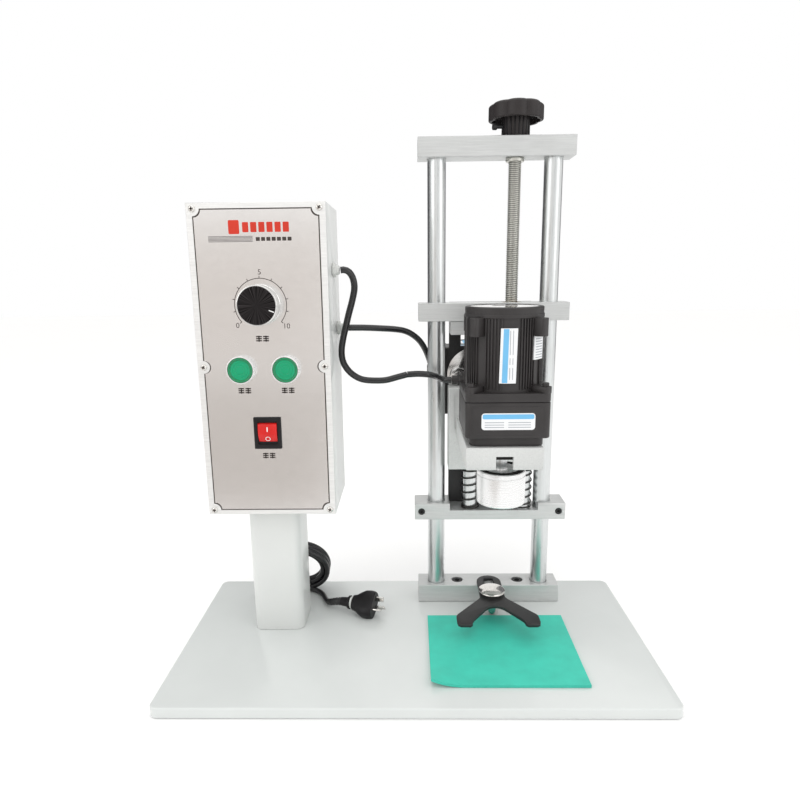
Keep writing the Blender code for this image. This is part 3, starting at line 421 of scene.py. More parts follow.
def sleeveFinish(name, colour, roughness, wrinkleCount, wrinkleDepth):
    # a cord's sheath: its UV runs round it and, in metres, along it
    made, tree, nodes, links = emptyMaterial(name)
    along = nodes.new("ShaderNodeUVMap")
    along.label = "round and along the sheath"
    along.uv_map = "sheath"
    scale = nodes.new("ShaderNodeMapping")
    scale.label = "wrinkle spacing"
    scale.inputs["Scale"].default_value = (1.5, wrinkleCount, 1)
    wrinkle = nodes.new("ShaderNodeTexNoise")
    wrinkle.label = "wrinkles across the sheath"
    wrinkle.inputs["Scale"].default_value = 1
    wrinkle.inputs["Detail"].default_value = 4
    wrinkle.inputs["Distortion"].default_value = 0.4
    bump = nodes.new("ShaderNodeBump")
    bump.label = "wrinkle height"
    bump.inputs["Strength"].default_value = wrinkleDepth
    bump.inputs["Distance"].default_value = 0.0004
    tone = nodes.new("ShaderNodeValToRGB")
    tone.label = "stretched and packed rubber"
    tone.color_ramp.elements[0].color = tuple(c * 0.7 for c in colour) + (1,)
    tone.color_ramp.elements[1].color = tuple(c * 1.5 for c in colour) + (1,)
    gloss = nodes.new("ShaderNodeMapRange")
    gloss.label = "gloss along the sheath"
    gloss.inputs["To Min"].default_value = roughness * 0.75
    gloss.inputs["To Max"].default_value = roughness * 1.3
    shader = nodes.new("ShaderNodeBsdfPrincipled")
    shader.label = "sheath"
    shader.inputs["Specular IOR Level"].default_value = 0.55
    out = nodes.new("ShaderNodeOutputMaterial")
    out.label = "finished surface"
    links.new(along.outputs["UV"], scale.inputs["Vector"])
    links.new(scale.outputs["Vector"], wrinkle.inputs["Vector"])
    links.new(wrinkle.outputs["Fac"], bump.inputs["Height"])
    links.new(wrinkle.outputs["Fac"], tone.inputs["Fac"])
    links.new(wrinkle.outputs["Fac"], gloss.inputs["Value"])
    links.new(tone.outputs["Color"], shader.inputs["Base Color"])
    links.new(gloss.outputs["Result"], shader.inputs["Roughness"])
    links.new(bump.outputs["Normal"], shader.inputs["Normal"])
    links.new(shader.outputs["BSDF"], out.inputs["Surface"])
    arrangeNodes(tree, (("sheath", (along, scale, wrinkle)), ("surface", (tone, gloss, bump, shader, out))))
    return made


def spunFinish(name, centre, turn, dark, light, roughness, metallic):
    # streaks that run out from the centre of a turned face
    made, tree, nodes, links = emptyMaterial(name)
    place = nodes.new("ShaderNodeTexCoord")
    place.label = "position on the face"
    middle = nodes.new("ShaderNodeMapping")
    middle.label = "centre on the spindle"
    spin = Matrix.Rotation(turn, 3, "X")
    middle.inputs["Rotation"].default_value = (turn, 0, 0)
    middle.inputs["Location"].default_value = -(spin @ Vector(centre))
    angle = nodes.new("ShaderNodeTexGradient")
    angle.label = "angle round the centre"
    angle.gradient_type = "RADIAL"
    streak = nodes.new("ShaderNodeTexNoise")
    streak.label = "spun streaks"
    streak.noise_dimensions = "1D"
    streak.inputs["Scale"].default_value = 90
    streak.inputs["Detail"].default_value = 6
    tone = nodes.new("ShaderNodeValToRGB")
    tone.label = "streak tones"
    tone.color_ramp.elements[0].position = 0.35
    tone.color_ramp.elements[1].position = 0.72
    tone.color_ramp.elements[0].color = (*dark, 1)
    tone.color_ramp.elements[1].color = (*light, 1)
    gloss = nodes.new("ShaderNodeMapRange")
    gloss.label = "streak gloss"
    gloss.inputs["To Min"].default_value = roughness * 0.7
    gloss.inputs["To Max"].default_value = roughness * 1.3
    bump = nodes.new("ShaderNodeBump")
    bump.label = "streak depth"
    bump.inputs["Strength"].default_value = 0.15
    bump.inputs["Distance"].default_value = 0.0001
    shader = nodes.new("ShaderNodeBsdfPrincipled")
    shader.label = "spun face"
    shader.inputs["Metallic"].default_value = metallic
    out = nodes.new("ShaderNodeOutputMaterial")
    out.label = "finished surface"
    links.new(place.outputs["Object"], middle.inputs["Vector"])
    links.new(middle.outputs["Vector"], angle.inputs["Vector"])
    links.new(angle.outputs["Fac"], streak.inputs["W"])
    links.new(streak.outputs["Fac"], tone.inputs["Fac"])
    links.new(streak.outputs["Fac"], gloss.inputs["Value"])
    links.new(streak.outputs["Fac"], bump.inputs["Height"])
    links.new(tone.outputs["Color"], shader.inputs["Base Color"])
    links.new(gloss.outputs["Result"], shader.inputs["Roughness"])
    links.new(bump.outputs["Normal"], shader.inputs["Normal"])
    links.new(shader.outputs["BSDF"], out.inputs["Surface"])
    arrangeNodes(tree, (("angle", (place, middle, angle)), ("streaks", (streak, tone, gloss, bump)),
                        ("surface", (shader, out))))
    return made


def boardFinish():
    made, tree, nodes, links = emptyMaterial("circuit_board")
    place = nodes.new("ShaderNodeTexCoord")
    place.label = "position on the board"
    turn = nodes.new("ShaderNodeMapping")
    turn.label = "lay the tracks on the board"
    turn.inputs["Rotation"].default_value = (math.pi / 2, 0, 0)
    tracks = nodes.new("ShaderNodeTexBrick")
    tracks.label = "copper tracks"
    tracks.inputs["Scale"].default_value = 160
    tracks.inputs["Mortar Size"].default_value = 0.03
    tracks.inputs["Color1"].default_value = (0.012, 0.12, 0.05, 1)
    tracks.inputs["Color2"].default_value = (0.015, 0.16, 0.07, 1)
    tracks.inputs["Mortar"].default_value = (0.05, 0.3, 0.14, 1)
    bump = nodes.new("ShaderNodeBump")
    bump.label = "track height"
    bump.inputs["Strength"].default_value = 0.3
    bump.inputs["Distance"].default_value = 0.0001
    shader = nodes.new("ShaderNodeBsdfPrincipled")
    shader.label = "varnished board"
    shader.inputs["Roughness"].default_value = 0.35
    out = nodes.new("ShaderNodeOutputMaterial")
    out.label = "finished surface"
    links.new(place.outputs["Object"], turn.inputs["Vector"])
    links.new(turn.outputs["Vector"], tracks.inputs["Vector"])
    links.new(tracks.outputs["Color"], shader.inputs["Base Color"])
    links.new(tracks.outputs["Fac"], bump.inputs["Height"])
    links.new(bump.outputs["Normal"], shader.inputs["Normal"])
    links.new(shader.outputs["BSDF"], out.inputs["Surface"])
    arrangeNodes(tree, (("tracks", (place, turn, tracks, bump)), ("surface", (shader, out))))
    return made


knobCentre = (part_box("speed_knob")[0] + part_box("speed_knob")[1]) / 2

finishes = {
    "basePaint": paintFinish("base_paint", (0.665, 0.69, 0.68), 0.2, 0.5, 0.012, 0.02),
    "boxPaint": paintFinish("white_paint", (0.70, 0.715, 0.70), 0.34, 0.25, 0.03, 0.02),
    "panelRim": metalFinish("panel_rim_steel", (0.86, 0.86, 0.85), 0.4, (3, 40, 60), 0.008, 0.1, None, 0.6),
    "panelSheet": metalFinish("polished_sheet", (0.85, 0.835, 0.825), 0.2, (9, 30, 14), 0.003, 0.1,
                              (0.81, 0.795, 0.785), 1.0, 0.25),
    "aluminium": metalFinish("machined_aluminium", (0.62, 0.63, 0.625), 0.38, (3, 60, 60), 0.06, 0.2, None, 0.5),
    "castAluminium": metalFinish("blasted_aluminium", (0.67, 0.68, 0.67), 0.5, (60, 60, 60), 0.12, 0.2, None, 0.3),
    "chrome": metalFinish("hard_chrome", (0.70, 0.72, 0.72), 0.28, (40, 40, 3), 0.02, 0.08),
    "chuckMetal": metalFinish("turned_aluminium", (0.84, 0.84, 0.84), 0.27, (6, 6, 160), 0.006, 0.08, None, 0.6,
                              0.15),
    "turnedSteel": metalFinish("turned_steel", (0.78, 0.775, 0.765), 0.16, (6, 6, 160), 0.08, 0.12),
    "zincSteel": metalFinish("zinc_steel", (0.66, 0.655, 0.61), 0.3, (30, 30, 90), 0.12, 0.35, (0.44, 0.44, 0.4)),
    # the thread's root is coloured much darker than its ridges: painted shade between the turns
    "shadedThreadRoot": metalFinish("thread_root_painted_shade", (0.27, 0.265, 0.25), 0.45, (30, 30, 90), 0.1, 0.3, (0.16, 0.15, 0.14)),
    "nickel": metalFinish("nickel", (0.74, 0.72, 0.69), 0.12, (30, 30, 120), 0.04, 0.15),
    "bronze": metalFinish("bronze", (0.56, 0.39, 0.21), 0.34, (20, 20, 90), 0.1, 0.3, (0.3, 0.2, 0.1)),
    "motorPaint": mouldedFinish("motor_paint", (0.026, 0.023, 0.023), 0.42, 1100, 0.22, 0.45, 0.25),
    "gearboxPaint": mouldedFinish("gearbox_casting", (0.028, 0.025, 0.025), 0.46, 700, 0.35, 0.42, 0.3),
    "blackSteel": metalFinish("blackened_steel", (0.03, 0.03, 0.031), 0.42, (50, 50, 50), 0.12, 0.3,
                              (0.06, 0.058, 0.055), 0.35),
    "springSteel": metalFinish("spring_steel", (0.05, 0.048, 0.046), 0.3, (40, 40, 40), 0.06, 0.2,
                               (0.09, 0.08, 0.07), 0.6),
    "blackPlastic": mouldedFinish("black_plastic", (0.012, 0.011, 0.012), 0.36, 1300, 0.15, 0.22, 0.2),
    "wheelPlastic": mouldedFinish("wheel_plastic", (0.024, 0.02, 0.02), 0.42, 1500, 0.22, 0.28, 0.25),
    "greyPlastic": mouldedFinish("grey_plastic", (0.62, 0.63, 0.61), 0.4, 1200, 0.12, 0.45, 0.05, 0.1),
    "linerRubber": mouldedFinish("chuck_rubber", (0.02, 0.018, 0.018), 0.75, 900, 0.4, 0.12, 0.2),
    "matRubber": mouldedFinish("mat_rubber", (0.055, 0.56, 0.43), 0.52, 650, 0.35, 0.35, 0.12),
    "greenCap": mouldedFinish("green_cap", (0.0, 0.33, 0.15), 0.2, 300, 0.03, 0.3, 0.1, 0.25, 0.25),
    "greenRim": mouldedFinish("green_rim", (0.0, 0.22, 0.085), 0.25, 300, 0.03, 0.5, 0.1, 0.5, 0.15),
    "redRocker": mouldedFinish("red_rocker", (0.62, 0.012, 0.01), 0.24, 500, 0.05, 0.3, 0.1, 0.2, 0.2),
    "whiteInk": mouldedFinish("white_ink", (0.85, 0.85, 0.84), 0.4, 1500, 0.05, 0.4, 0.03),
    "darkInk": mouldedFinish("dark_ink", (0.05, 0.04, 0.035), 0.5, 1500, 0.05, 0.3, 0.1),
    "greyInk": mouldedFinish("grey_ink", (0.13, 0.12, 0.12), 0.5, 1500, 0.05, 0.3, 0.1),
    "redInk": mouldedFinish("red_ink", (0.56, 0.032, 0.014), 0.42, 1500, 0.05, 0.3, 0.1),
    "labelPaper": mouldedFinish("label_paper", (0.80, 0.81, 0.82), 0.45, 1500, 0.04, 0.35, 0.03),
    "labelBlue": mouldedFinish("label_blue", (0.16, 0.46, 0.74), 0.45, 1500, 0.04, 0.35, 0.05),
    "capEnamel": mouldedFinish("end_cap_enamel", (0.13, 0.12, 0.12), 0.16, 700, 0.04, 0.6, 0.08, 0.9),
    "labelGrey": mouldedFinish("label_print", (0.36, 0.38, 0.41), 0.5, 1500, 0.04, 0.3, 0.1),
    "knobFace": spunFinish("spun_black_face", knobCentre, -math.pi / 2, (0.005, 0.005, 0.005),
                           (0.07, 0.065, 0.068), 0.28, 1.0),
    "mainsSheath": sleeveFinish("cord_rubber", (0.011, 0.011, 0.012), 0.3, 260, 0.06),
    "cableSleeve": sleeveFinish("cable_sleeve", (0.011, 0.011, 0.012), 0.2, 130, 0.75),
    "board": boardFinish(),
}
print("materials ready:", len(finishes))


# Mesh helpers

def meshFrom(name, shape, sharpAngle=35):
    bmesh.ops.remove_doubles(shape, verts=shape.verts, dist=1e-7)
    bmesh.ops.recalc_face_normals(shape, faces=shape.faces)
    mesh = bpy.data.meshes.new(name)
    shape.to_mesh(mesh)
    shape.free()
    mesh.shade_smooth()
    mesh.set_sharp_from_angle(angle=math.radians(sharpAngle))
    return mesh


def newPiece(name, mesh, finish, body, replaced=()):
    obj = bpy.data.objects.new(name, mesh)
    bpy.context.scene.collection.objects.link(obj)
    mesh.materials.clear()
    mesh.materials.append(finishes[finish])
    if body:
        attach(obj, body)
    if replaced:
        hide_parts(*replaced)
    return obj


def shapedPiece(name, shape, finish, body, replaced=(), sharpAngle=35):
    return newPiece(name, meshFrom(name, shape, sharpAngle), finish, body, replaced)


def turnedPiece(name, corners, centre, finish, body, replaced=(), faces="up", segments=96, outline=None):
    return shapedPiece(name, latheShape(corners, centre, faces, segments, outline), finish, body, replaced)


def middleOf(node, height=0):
    # the middle of a CAD node's box, seen from above, at a height
    low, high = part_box(node)
    return Vector(((low.x + high.x) / 2, (low.y + high.y) / 2, height))


def roundCorners(corners, steps=4):
    # corners are (radius, height, rounding)
    line = []
    for i, (radius, height, rounding) in enumerate(corners):
        here = Vector((radius, height))
        if rounding == 0 or i in (0, len(corners) - 1):
            line.append(here)
            continue
        before, after = Vector(corners[i - 1][:2]) - here, Vector(corners[i + 1][:2]) - here
        start = here + before.normalized() * min(rounding, before.length * 0.48)
        end = here + after.normalized() * min(rounding, after.length * 0.48)
        for step in range(steps + 1):
            t = step / steps
            line.append((1 - t) ** 2 * start + 2 * t * (1 - t) * here + t * t * end)
    return line


def latheShape(corners, centre, faces="up", segments=72, outline=None):
    # turns a section in millimetres about an axis; outline(angle) changes the radius round it
    shape = bmesh.new()
    rings = []
    for radius, height in roundCorners(corners):
        if radius < 1e-6:
            rings.append([shape.verts.new((0, 0, height * mm))])
            continue
        ring = []
        for i in range(segments):
            angle = 2 * math.pi * i / segments
            reach = radius + (outline(angle, radius) if outline else 0)
            spot = (reach * mm * math.cos(angle), reach * mm * math.sin(angle), height * mm)
            ring.append(shape.verts.new(spot))
        rings.append(ring)
    if len(rings[0]) > 1 and len(rings[-1]) > 1:
        rings.append(rings[0])
    for low, high in zip(rings, rings[1:]):
        for i in range(segments):
            j = (i + 1) % segments
            if len(low) == 1 and len(high) > 1:
                shape.faces.new((low[0], high[i], high[j]))
            elif len(high) == 1 and len(low) > 1:
                shape.faces.new((low[i], high[0], low[j]))
            elif len(low) > 1:
                shape.faces.new((low[i], low[j], high[j], high[i]))
    shape.transform(Matrix.Translation(centre) @ facing[faces])
    return shape


def boxShape(low, high, corner=0, edge=0.4 * mm, along=2, cornerSteps=8, edgeSteps=3):
    # a box whose edges along one axis are rounded more than the others
    shape = bmesh.new()
    size = [h - l for l, h in zip(low, high)]
    middle = [(h + l) / 2 for l, h in zip(low, high)]
    bmesh.ops.create_cube(shape, size=1, matrix=Matrix.Translation(middle) @ Matrix.Diagonal((*size, 1)))
    if corner:
        long = [e for e in shape.edges if abs(e.verts[0].co[along] - e.verts[1].co[along]) > 0.5 * size[along]]
        bmesh.ops.bevel(shape, geom=long, offset=corner, segments=cornerSteps, affect="EDGES", profile=0.5)
    if edge:
        sharp = [e for e in shape.edges if e.is_manifold and e.calc_face_angle() > math.radians(50)]
        bmesh.ops.bevel(shape, geom=sharp, offset=edge, segments=edgeSteps, affect="EDGES", profile=0.5)
    return shape


def blockShape(low, high, corner=0, edge=0.4, along=2, cornerSteps=8, edgeSteps=3):
    # the same box with its measures in millimetres
    low, high = [v * mm for v in low], [v * mm for v in high]
    return boxShape(low, high, corner * mm, edge * mm, along, cornerSteps, edgeSteps)


def closeGrid(shape, grid, columns, rows):
    # joins two layers of points, grid[layer, column, row], into one closed sheet
    for i in range(columns):
        for j in range(rows):
            for layer in (0, 1):
                shape.faces.new([grid[layer, i + a, j + b] for a, b in ((0, 0), (1, 0), (1, 1), (0, 1))])
    for i in range(columns):
        for j in (0, rows):
            shape.faces.new([grid[k, i + a, j] for k, a in ((0, 0), (0, 1), (1, 1), (1, 0))])
    for j in range(rows):
        for i in (0, columns):
            shape.faces.new([grid[k, i, j + b] for k, b in ((0, 0), (0, 1), (1, 1), (1, 0))])


def joinShapes(shapes):
    whole = bmesh.new()
    for shape in shapes:
        mesh = bpy.data.meshes.new("joining")
        shape.to_mesh(mesh)
        shape.free()
        whole.from_mesh(mesh)
        bpy.data.meshes.remove(mesh)
    return whole


def softenedCopy(node, finish, width, segments):
    # a copy of a CAD node with small rounds on its sharp edges
    body = frame["nodes"][node]["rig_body"]
    shape = bmesh.new()
    shape.from_mesh(frame["nodes"][node].data)
    bmesh.ops.remove_doubles(shape, verts=shape.verts, dist=2e-6)
    bmesh.ops.dissolve_limit(shape, angle_limit=math.radians(0.6), verts=shape.verts, edges=shape.edges)
    mesh = bpy.data.meshes.new(node)
    shape.to_mesh(mesh)
    shape.free()
    obj = bpy.data.objects.new(node, mesh)
    bpy.context.scene.collection.objects.link(obj)
    rounds = obj.modifiers.new("rounds", "BEVEL")
    rounds.width = width
    rounds.segments = segments
    rounds.limit_method = "ANGLE"
    rounds.angle_limit = math.radians(48)
    rounds.use_clamp_overlap = True
    rounds.harden_normals = False
    bpy.context.view_layer.update()
    made = bpy.data.meshes.new_from_object(obj.evaluated_get(bpy.context.evaluated_depsgraph_get()))
    bpy.data.objects.remove(obj)
    bpy.data.meshes.remove(mesh)
    made.shade_smooth()
    made.set_sharp_from_angle(angle=math.radians(40))
    return newPiece(node + "_finished", made, finish, body, (node,))


def softenNodes(rows):
    # each row has its nodes, finish, slot, width of the rounds in millimetres and their steps
    for nodes, finish, slotName, width, segments in rows:
        for node in nodes.split():
            softenedCopy(node, finish, width * mm, segments)


# Geometry Nodes trees for what repeats

def emptyTree(name, inputs):
    tree = bpy.data.node_groups.new(name, "GeometryNodeTree")
    tree.is_modifier = True
    for label, kind in (("Geometry", "Geometry"), *inputs):
        tree.interface.new_socket(label, in_out="INPUT", socket_type="NodeSocket" + kind)
    tree.interface.new_socket("Geometry", in_out="OUTPUT", socket_type="NodeSocketGeometry")
    return tree, tree.nodes, tree.links


def arcCopiesTree():
    # copies of a shape at even steps round an arc
    tree, nodes, links = emptyTree("arc_copies", (
        ("Shape", "Object"), ("Count", "Int"), ("Radius", "Float"), ("Start", "Float"), ("Step", "Float"),
        ("Material", "Material")))
    given = nodes.new("NodeGroupInput")
    row = nodes.new("GeometryNodeMeshLine")
    row.label = "one point for each copy"
    index = nodes.new("GeometryNodeInputIndex")
    angle = nodes.new("ShaderNodeMath")
    angle.label = "its angle"
    angle.operation = "MULTIPLY_ADD"
    across = nodes.new("ShaderNodeMath")
    across.operation = "COSINE"
    deep = nodes.new("ShaderNodeMath")
    deep.operation = "SINE"
    join = nodes.new("ShaderNodeCombineXYZ")
    join.label = "direction from the centre"
    reach = nodes.new("ShaderNodeVectorMath")
    reach.label = "out to the radius"
    reach.operation = "SCALE"
    place = nodes.new("GeometryNodeSetPosition")
    spin = nodes.new("ShaderNodeCombineXYZ")
    spin.label = "face outwards"
    shape = nodes.new("GeometryNodeObjectInfo")
    shape.label = "the repeated shape"
    copies = nodes.new("GeometryNodeInstanceOnPoints")
    real = nodes.new("GeometryNodeRealizeInstances")
    coat = nodes.new("GeometryNodeSetMaterial")
    out = nodes.new("NodeGroupOutput")
    links.new(given.outputs["Count"], row.inputs["Count"])
    links.new(index.outputs["Index"], angle.inputs[0])
    links.new(given.outputs["Step"], angle.inputs[1])
    links.new(given.outputs["Start"], angle.inputs[2])
    links.new(angle.outputs[0], across.inputs[0])
    links.new(angle.outputs[0], deep.inputs[0])
    links.new(across.outputs[0], join.inputs["X"])
    links.new(deep.outputs[0], join.inputs["Y"])
    links.new(join.outputs[0], reach.inputs[0])
    links.new(given.outputs["Radius"], reach.inputs["Scale"])
    links.new(row.outputs["Mesh"], place.inputs["Geometry"])
    links.new(reach.outputs[0], place.inputs["Position"])
    links.new(angle.outputs[0], spin.inputs["Z"])
    links.new(given.outputs["Shape"], shape.inputs["Object"])
    links.new(place.outputs["Geometry"], copies.inputs["Points"])
    links.new(shape.outputs["Geometry"], copies.inputs["Instance"])
    links.new(spin.outputs[0], copies.inputs["Rotation"])
    links.new(copies.outputs["Instances"], real.inputs["Geometry"])
    links.new(real.outputs["Geometry"], coat.inputs["Geometry"])
    links.new(given.outputs["Material"], coat.inputs["Material"])
    links.new(coat.outputs["Geometry"], out.inputs["Geometry"])
    arrangeNodes(tree, (("points on the arc", (given, row, index, angle, across, deep, join, reach, place)),
                        ("copies", (spin, shape, copies, real, coat, out))))
    return tree


def coilTree():
    # a wire coil with closed turns at both ends
    tree, nodes, links = emptyTree("wire_coil", (
        ("Turns", "Float"), ("Radius", "Float"), ("Wire", "Float"), ("Height", "Float"), ("ClosedShare", "Float"),
        ("Spin", "Float"), ("Steps", "Int"), ("Material", "Material")))
    given = nodes.new("NodeGroupInput")
    closed = nodes.new("ShaderNodeMath")
    closed.label = "height if every turn touched"
    closed.operation = "MULTIPLY"
    spiral = nodes.new("GeometryNodeCurveSpiral")
    spare = nodes.new("ShaderNodeMath")
    spare.label = "height left to open"
    spare.operation = "SUBTRACT"
    share = nodes.new("GeometryNodeSplineParameter")
    top = nodes.new("ShaderNodeMath")
    top.label = "where the top turns close"
    top.operation = "SUBTRACT"
    top.inputs[0].default_value = 1
    opened = nodes.new("ShaderNodeMapRange")
    opened.label = "how far it has opened"
    rise = nodes.new("ShaderNodeMath")
    rise.operation = "MULTIPLY"
    lift = nodes.new("ShaderNodeCombineXYZ")
    place = nodes.new("GeometryNodeSetPosition")
    ring = nodes.new("GeometryNodeCurvePrimitiveCircle")
    ring.label = "wire section"
    ring.inputs["Resolution"].default_value = 10
    wire = nodes.new("GeometryNodeCurveToMesh")
    wire.inputs["Fill Caps"].default_value = True
    turn = nodes.new("ShaderNodeCombineXYZ")
    move = nodes.new("GeometryNodeTransform")
    real = nodes.new("GeometryNodeRealizeInstances")
    coat = nodes.new("GeometryNodeSetMaterial")
    out = nodes.new("NodeGroupOutput")
    double = nodes.new("ShaderNodeMath")
    double.label = "wire diameter"
    double.operation = "MULTIPLY"
    double.inputs[1].default_value = 2
    links.new(given.outputs["Wire"], double.inputs[0])
    links.new(double.outputs[0], closed.inputs[0])
    links.new(given.outputs["Turns"], closed.inputs[1])
    links.new(given.outputs["Steps"], spiral.inputs["Resolution"])
    links.new(given.outputs["Turns"], spiral.inputs["Rotations"])
    links.new(given.outputs["Radius"], spiral.inputs["Start Radius"])
    links.new(given.outputs["Radius"], spiral.inputs["End Radius"])
    links.new(closed.outputs[0], spiral.inputs["Height"])
    links.new(given.outputs["Height"], spare.inputs[0])
    links.new(closed.outputs[0], spare.inputs[1])
    links.new(given.outputs["ClosedShare"], top.inputs[1])
    links.new(share.outputs["Factor"], opened.inputs["Value"])
    links.new(given.outputs["ClosedShare"], opened.inputs["From Min"])
    links.new(top.outputs[0], opened.inputs["From Max"])
    links.new(opened.outputs["Result"], rise.inputs[0])
    links.new(spare.outputs[0], rise.inputs[1])
    links.new(rise.outputs[0], lift.inputs["Z"])
    links.new(spiral.outputs["Curve"], place.inputs["Geometry"])
    links.new(lift.outputs[0], place.inputs["Offset"])
    links.new(given.outputs["Wire"], ring.inputs["Radius"])
    links.new(place.outputs["Geometry"], wire.inputs["Curve"])
    links.new(ring.outputs["Curve"], wire.inputs["Profile Curve"])
    links.new(given.outputs["Spin"], turn.inputs["Z"])
    links.new(wire.outputs["Mesh"], move.inputs["Geometry"])
    links.new(turn.outputs[0], move.inputs["Rotation"])
    links.new(move.outputs["Geometry"], real.inputs["Geometry"])
    links.new(real.outputs["Geometry"], coat.inputs["Geometry"])
    links.new(given.outputs["Material"], coat.inputs["Material"])
    links.new(coat.outputs["Geometry"], out.inputs["Geometry"])
    arrangeNodes(tree, (("spiral", (given, double, closed, spiral)),
                        ("closed ends", (spare, share, top, opened, rise, lift, place)),
                        ("wire", (ring, wire, turn, move, real, coat, out))))
    return tree


def screwTree():
    # a screw head at each point, its slot turned at random about the Y axis
    tree, nodes, links = emptyTree("screw_heads", (("Head", "Object"), ("Seed", "Int"), ("Material", "Material")))
    given = nodes.new("NodeGroupInput")
    head = nodes.new("GeometryNodeObjectInfo")
    head.label = "screw head"
    chance = nodes.new("FunctionNodeRandomValue")
    chance.label = "how far it was driven"
    chance.data_type = "FLOAT"
    chance.inputs[3].default_value = math.pi / 2
    turn = nodes.new("ShaderNodeCombineXYZ")
    copies = nodes.new("GeometryNodeInstanceOnPoints")
    real = nodes.new("GeometryNodeRealizeInstances")
    coat = nodes.new("GeometryNodeSetMaterial")
    out = nodes.new("NodeGroupOutput")
    links.new(given.outputs["Geometry"], copies.inputs["Points"])
    links.new(given.outputs["Head"], head.inputs["Object"])
    links.new(given.outputs["Seed"], chance.inputs["Seed"])
    links.new(chance.outputs[1], turn.inputs["Y"])
    links.new(head.outputs["Geometry"], copies.inputs["Instance"])
    links.new(turn.outputs[0], copies.inputs["Rotation"])
    links.new(copies.outputs["Instances"], real.inputs["Geometry"])
    links.new(real.outputs["Geometry"], coat.inputs["Geometry"])
    links.new(given.outputs["Material"], coat.inputs["Material"])
    links.new(coat.outputs["Geometry"], out.inputs["Geometry"])
    arrangeNodes(tree, (("screws", (given, head, chance, turn, copies, real, coat, out)),))
    return tree


trees = {"arc": arcCopiesTree(), "coil": coilTree(), "screws": screwTree()}


def grownMesh(name, treeName, values, points=((0, 0, 0),)):
    start = bpy.data.meshes.new(name)
    start.from_pydata([Vector(p) for p in points], [], [])
    holder = bpy.data.objects.new(name, start)
    bpy.context.scene.collection.objects.link(holder)
    grow = holder.modifiers.new("grow", "NODES")
    grow.node_group = trees[treeName]
    for item in trees[treeName].interface.items_tree:
        if item.in_out == "INPUT" and item.name in values:
            grow[item.identifier] = values[item.name]
    bpy.context.view_layer.update()
    mesh = bpy.data.meshes.new_from_object(holder.evaluated_get(bpy.context.evaluated_depsgraph_get()))
    holder.modifiers.remove(grow)
    bpy.data.objects.remove(holder)
    mesh.shade_smooth()
    mesh.set_sharp_from_angle(angle=math.radians(40))
    return mesh


def patternObject(name, shape):
    # a shape that a tree repeats; it is removed when the tree has used it
    obj = bpy.data.objects.new(name, meshFrom(name, shape))
    bpy.context.scene.collection.objects.link(obj)
    return obj


def arcCopies(name, shape, count, radius, start, step, finish, placed):
    pattern = patternObject(name + "_one", shape)
    mesh = grownMesh(name, "arc", {
        "Shape": pattern, "Count": count, "Radius": radius, "Start": start, "Step": step,
        "Material": finishes[finish],
    })
    bpy.data.objects.remove(pattern)
    mesh.transform(placed)
    return mesh


# Cords

cords = {  # lengths in metres, the coil's places in millimetres and its angles in degrees
    "mainsRadius": 3.1 * mm, "cableRadius": 3.5 * mm, "mainsLength": 1.25, "headLength": 0.19,
    "headEndLength": 0.061, "liftLength": 0.175, "reliefLength": 26 * mm, "coilCentre": (-140, 89.4, 48.2),
    "coilLean": 20, "coilFrom": 143, "coilTo": 2071, "coilStep": 15,
    "coilBeds": ((39.9, -1.4), (32.9, -5.9), (27.1, -3), (32.9, 0), (27.1, 3), (32.9, 5.9)),
    "coilChanges": ((143, 205), (500, 550), (870, 920), (1240, 1290), (1600, 1650)),
}
upperRoute = [
    (-148, 90.8, 185), (-148, 98, 184.6), (-149.2, 106.5, 180), (-152, 112.2, 171), (-156, 113.4, 159),
    (-160.8, 109.8, 145), (-165.4, 103, 129), (-169, 95.4, 112), (-171.4, 88.8, 96), (-172, 84.8, 82),
    (-172, 82.6, 71),
]
lowerRoute = [
    (-131, 92.5, 14.9), (-123.5, 89.8, 14.6), (-116.5, 84.5, 14.5), (-111.5, 77, 14.5), (-108, 68.5, 14.8),
    (-104, 60, 16), (-98.5, 54, 19), (-93, 52, 20.8), (-88.6, 51.5, 21.2),
]
headRoute = [
    (-72.8, 26, 410), (-69, 26.6, 410.2), (-64.4, 28.6, 408.2), (-60.6, 31, 401.6), (-59.4, 32, 391.6),
    (-62, 33, 379), (-66, 34, 365.6), (-69.7, 35.2, 352), (-73.6, 37, 337), (-75.6, 38, 324), (-74.4, 39.2, 313),
    (-69.5, 41, 303.6), (-62.3, 43, 296.6), (-53.7, 45, 292.3), (-41.8, 47, 290.7), (-28.6, 49, 290.8),
    (-15.3, 51.4, 293.8), (-5.4, 53, 296.1),
]
headEndRoute = [
    (-5.0, 53.1, 296.15), (6.9, 54.6, 296.5), (19, 53, 295.8), (28, 45, 294.6), (31.6, 35.6, 294.1),
    (36.6, 29, 294), (42.2, 27.6, 294),
]
liftRoute = [
    (-73.2, 52, 348.6), (-65.2, 53.6, 348.5), (-51, 58.2, 347.9), (-35, 64, 346.6), (-18.5, 71, 344.8),
    (-7, 77.5, 342), (2, 84.5, 336.6), (10, 92.5, 328.5), (16, 101.5, 318), (20.4, 112, 306.5), (23.4, 124, 296.2),
    (25.6, 134, 289), (26.8, 142, 284.8), (27, 149, 283.4),
]


